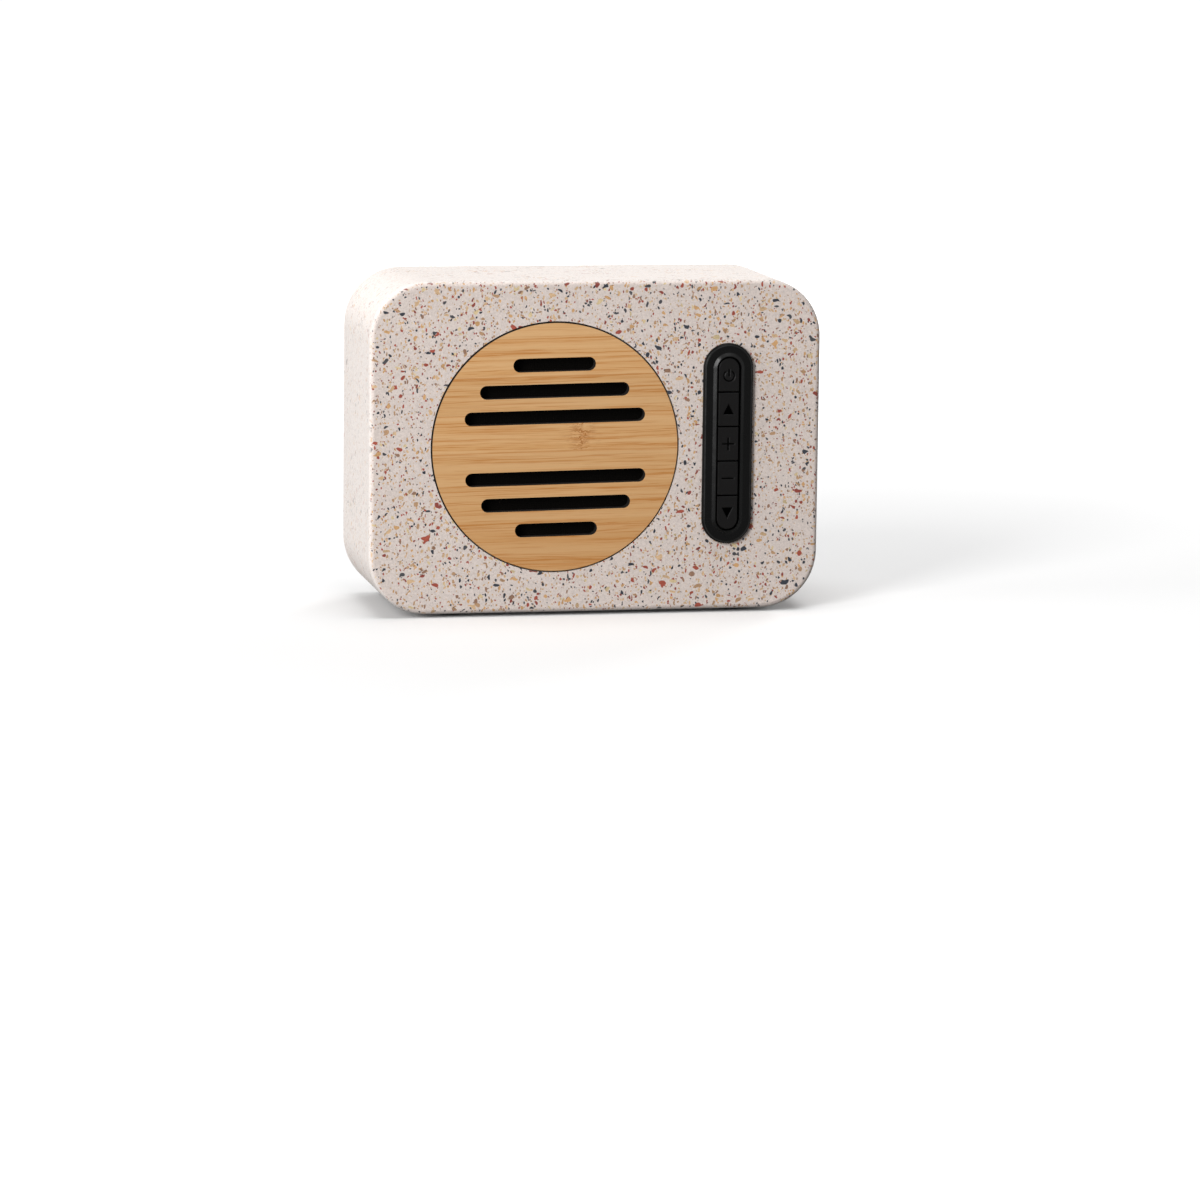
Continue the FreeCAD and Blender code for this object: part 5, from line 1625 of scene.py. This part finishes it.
def hang_lamp(data: bpy.types.Light, place: Vector, aim: Vector) -> None:
    """Hangs a lamp at a place and turns it to a point.

    Args:
        data: the lamp's light.
        place: where it hangs, in metres.
        aim: the point that it shines at.
    """
    lamp = bpy.data.objects.new(data.name, data)
    lamp.location = place
    lamp.rotation_mode = "QUATERNION"
    lamp.rotation_quaternion = (aim - place).to_track_quat("-Z", "Y")
    bpy.context.scene.collection.objects.link(lamp)


@dataclass(frozen=True)
class Softbox:
    """A rectangular softbox: its place and size in metres, its power in watts."""

    name: str
    place: Colour
    size: tuple[float, float]
    power: float
    aim: Colour = (0.0, 0.0, 0.04)

    def hang(self) -> None:
        """Hangs the softbox, aimed at the speaker."""
        data = bpy.data.lights.new(self.name, "AREA")
        data.shape = "RECTANGLE"
        data.size, data.size_y = self.size
        data.energy = self.power
        hang_lamp(data, Vector(self.place), Vector(self.aim))


@dataclass(frozen=True)
class Studio:
    """Camera, floor and soft light."""

    position: Colour = (-0.237425, -1.176467, 0.188652)
    yaw: float = 0.2036
    pitch: float = 0.1555
    roll: float = 0.0111
    lens: float = 148.725
    softboxes: tuple[Softbox, ...] = (
        Softbox("key_softbox", (-0.73, -0.84, 0.42), (0.34, 0.80), 11.9),
        Softbox("left_softbox", (-1.02, -0.12, 0.25), (0.55, 0.46), 4.5),
        Softbox("back_softbox", (0.75, 0.95, 0.28), (0.50, 0.45), 12.0),
    )
    top_from: Colour = (0.02, -0.03, 0.60)
    top_spread: float = 44.0
    sky: float = 0.12
    floor_half: float = 30.0
    floor_white: Colour = (0.83, 0.83, 0.83)
    floor_bounce: Colour = (0.12, 0.12, 0.12)
    far_glow: float = 0.44
    glow_rise: tuple[float, float] = (180.0, 700.0)

    def camera(self) -> None:
        """Places the camera as the photograph was taken: turned, tipped down and rolled a little."""
        sin_y, cos_y = math.sin(self.yaw), math.cos(self.yaw)
        sin_p, cos_p = math.sin(self.pitch), math.cos(self.pitch)
        ahead = Vector((sin_y * cos_p, cos_y * cos_p, -sin_p))
        right = Vector((cos_y, -sin_y, 0.0))
        up = right.cross(ahead)
        across = right * math.cos(self.roll) + up * math.sin(self.roll)
        rise = up * math.cos(self.roll) - right * math.sin(self.roll)
        turn = Matrix((across, rise, -ahead)).transposed().to_4x4()
        data = bpy.data.cameras.new("camera")
        data.lens, data.sensor_width = self.lens, 36.0
        data.clip_start, data.clip_end = 0.05, 100.0
        made = bpy.data.objects.new("camera", data)
        made.matrix_world = Matrix.Translation(self.position) @ turn
        bpy.context.scene.collection.objects.link(made)
        bpy.context.scene.camera = made

    def light(self) -> None:
        """Hangs the softboxes and an even top light, under an even sky that shows white."""
        for softbox in self.softboxes:
            softbox.hang()
        above = Vector(self.top_from)
        data = bpy.data.lights.new("top_light", "SUN")
        data.energy = above.length * math.pi
        data.angle = math.radians(self.top_spread)
        hang_lamp(data, above, Vector())
        world = bpy.data.worlds.new("studio")
        paint = Paint.of_world(world)
        paint.feed(paint.shader.inputs["Color"], (1.0, 1.0, 1.0))
        paint.feed(paint.shader.inputs["Strength"], paint.seen() * (1 - self.sky) + self.sky)
        bpy.context.scene.world = world

    def floor(self) -> None:
        """Lays a wide pale floor under the feet, as a two by two grid of points."""
        span = np.array((-1.0, 1.0)) * self.floor_half / MM
        x, y = np.meshgrid(span, span)
        shell = Shell()
        shell.grid(np.stack((x, y, np.zeros_like(x)), -1))
        made = shell.make("floor")
        paint = Paint.of_material("floor_white")
        colour = paint.blend(paint.seen(), self.floor_bounce, self.floor_white)
        x, y, _ = paint.axes(paint.place)
        away = x.hypot(y).rise(*self.glow_rise)
        glow = paint.blend(paint.seen() * away, (0.0, 0.0, 0.0), (1.0, 1.0, 1.0))
        paint.surface(Base_Color=colour, Roughness=0.9, Specular_IOR_Level=0.0)
        paint.surface(Emission_Color=glow, Emission_Strength=self.far_glow)
        made.data.materials.append(paint.material)

    def build(self) -> None:
        """Builds the studio and sets plain colour management."""
        self.camera()
        self.light()
        self.floor()
        bpy.context.scene.view_settings.view_transform = "Standard"


def main() -> None:
    """Dresses the speaker, piece by piece, and builds the studio."""
    logging.basicConfig(level=logging.INFO, format="%(name)s: %(message)s")
    for part in (CastBody(), Grille(), ControlStrip(), Driver(), BackPanel(), Inside()):
        part.dress()
    Studio().build()


if __name__ == "__main__":
    main()
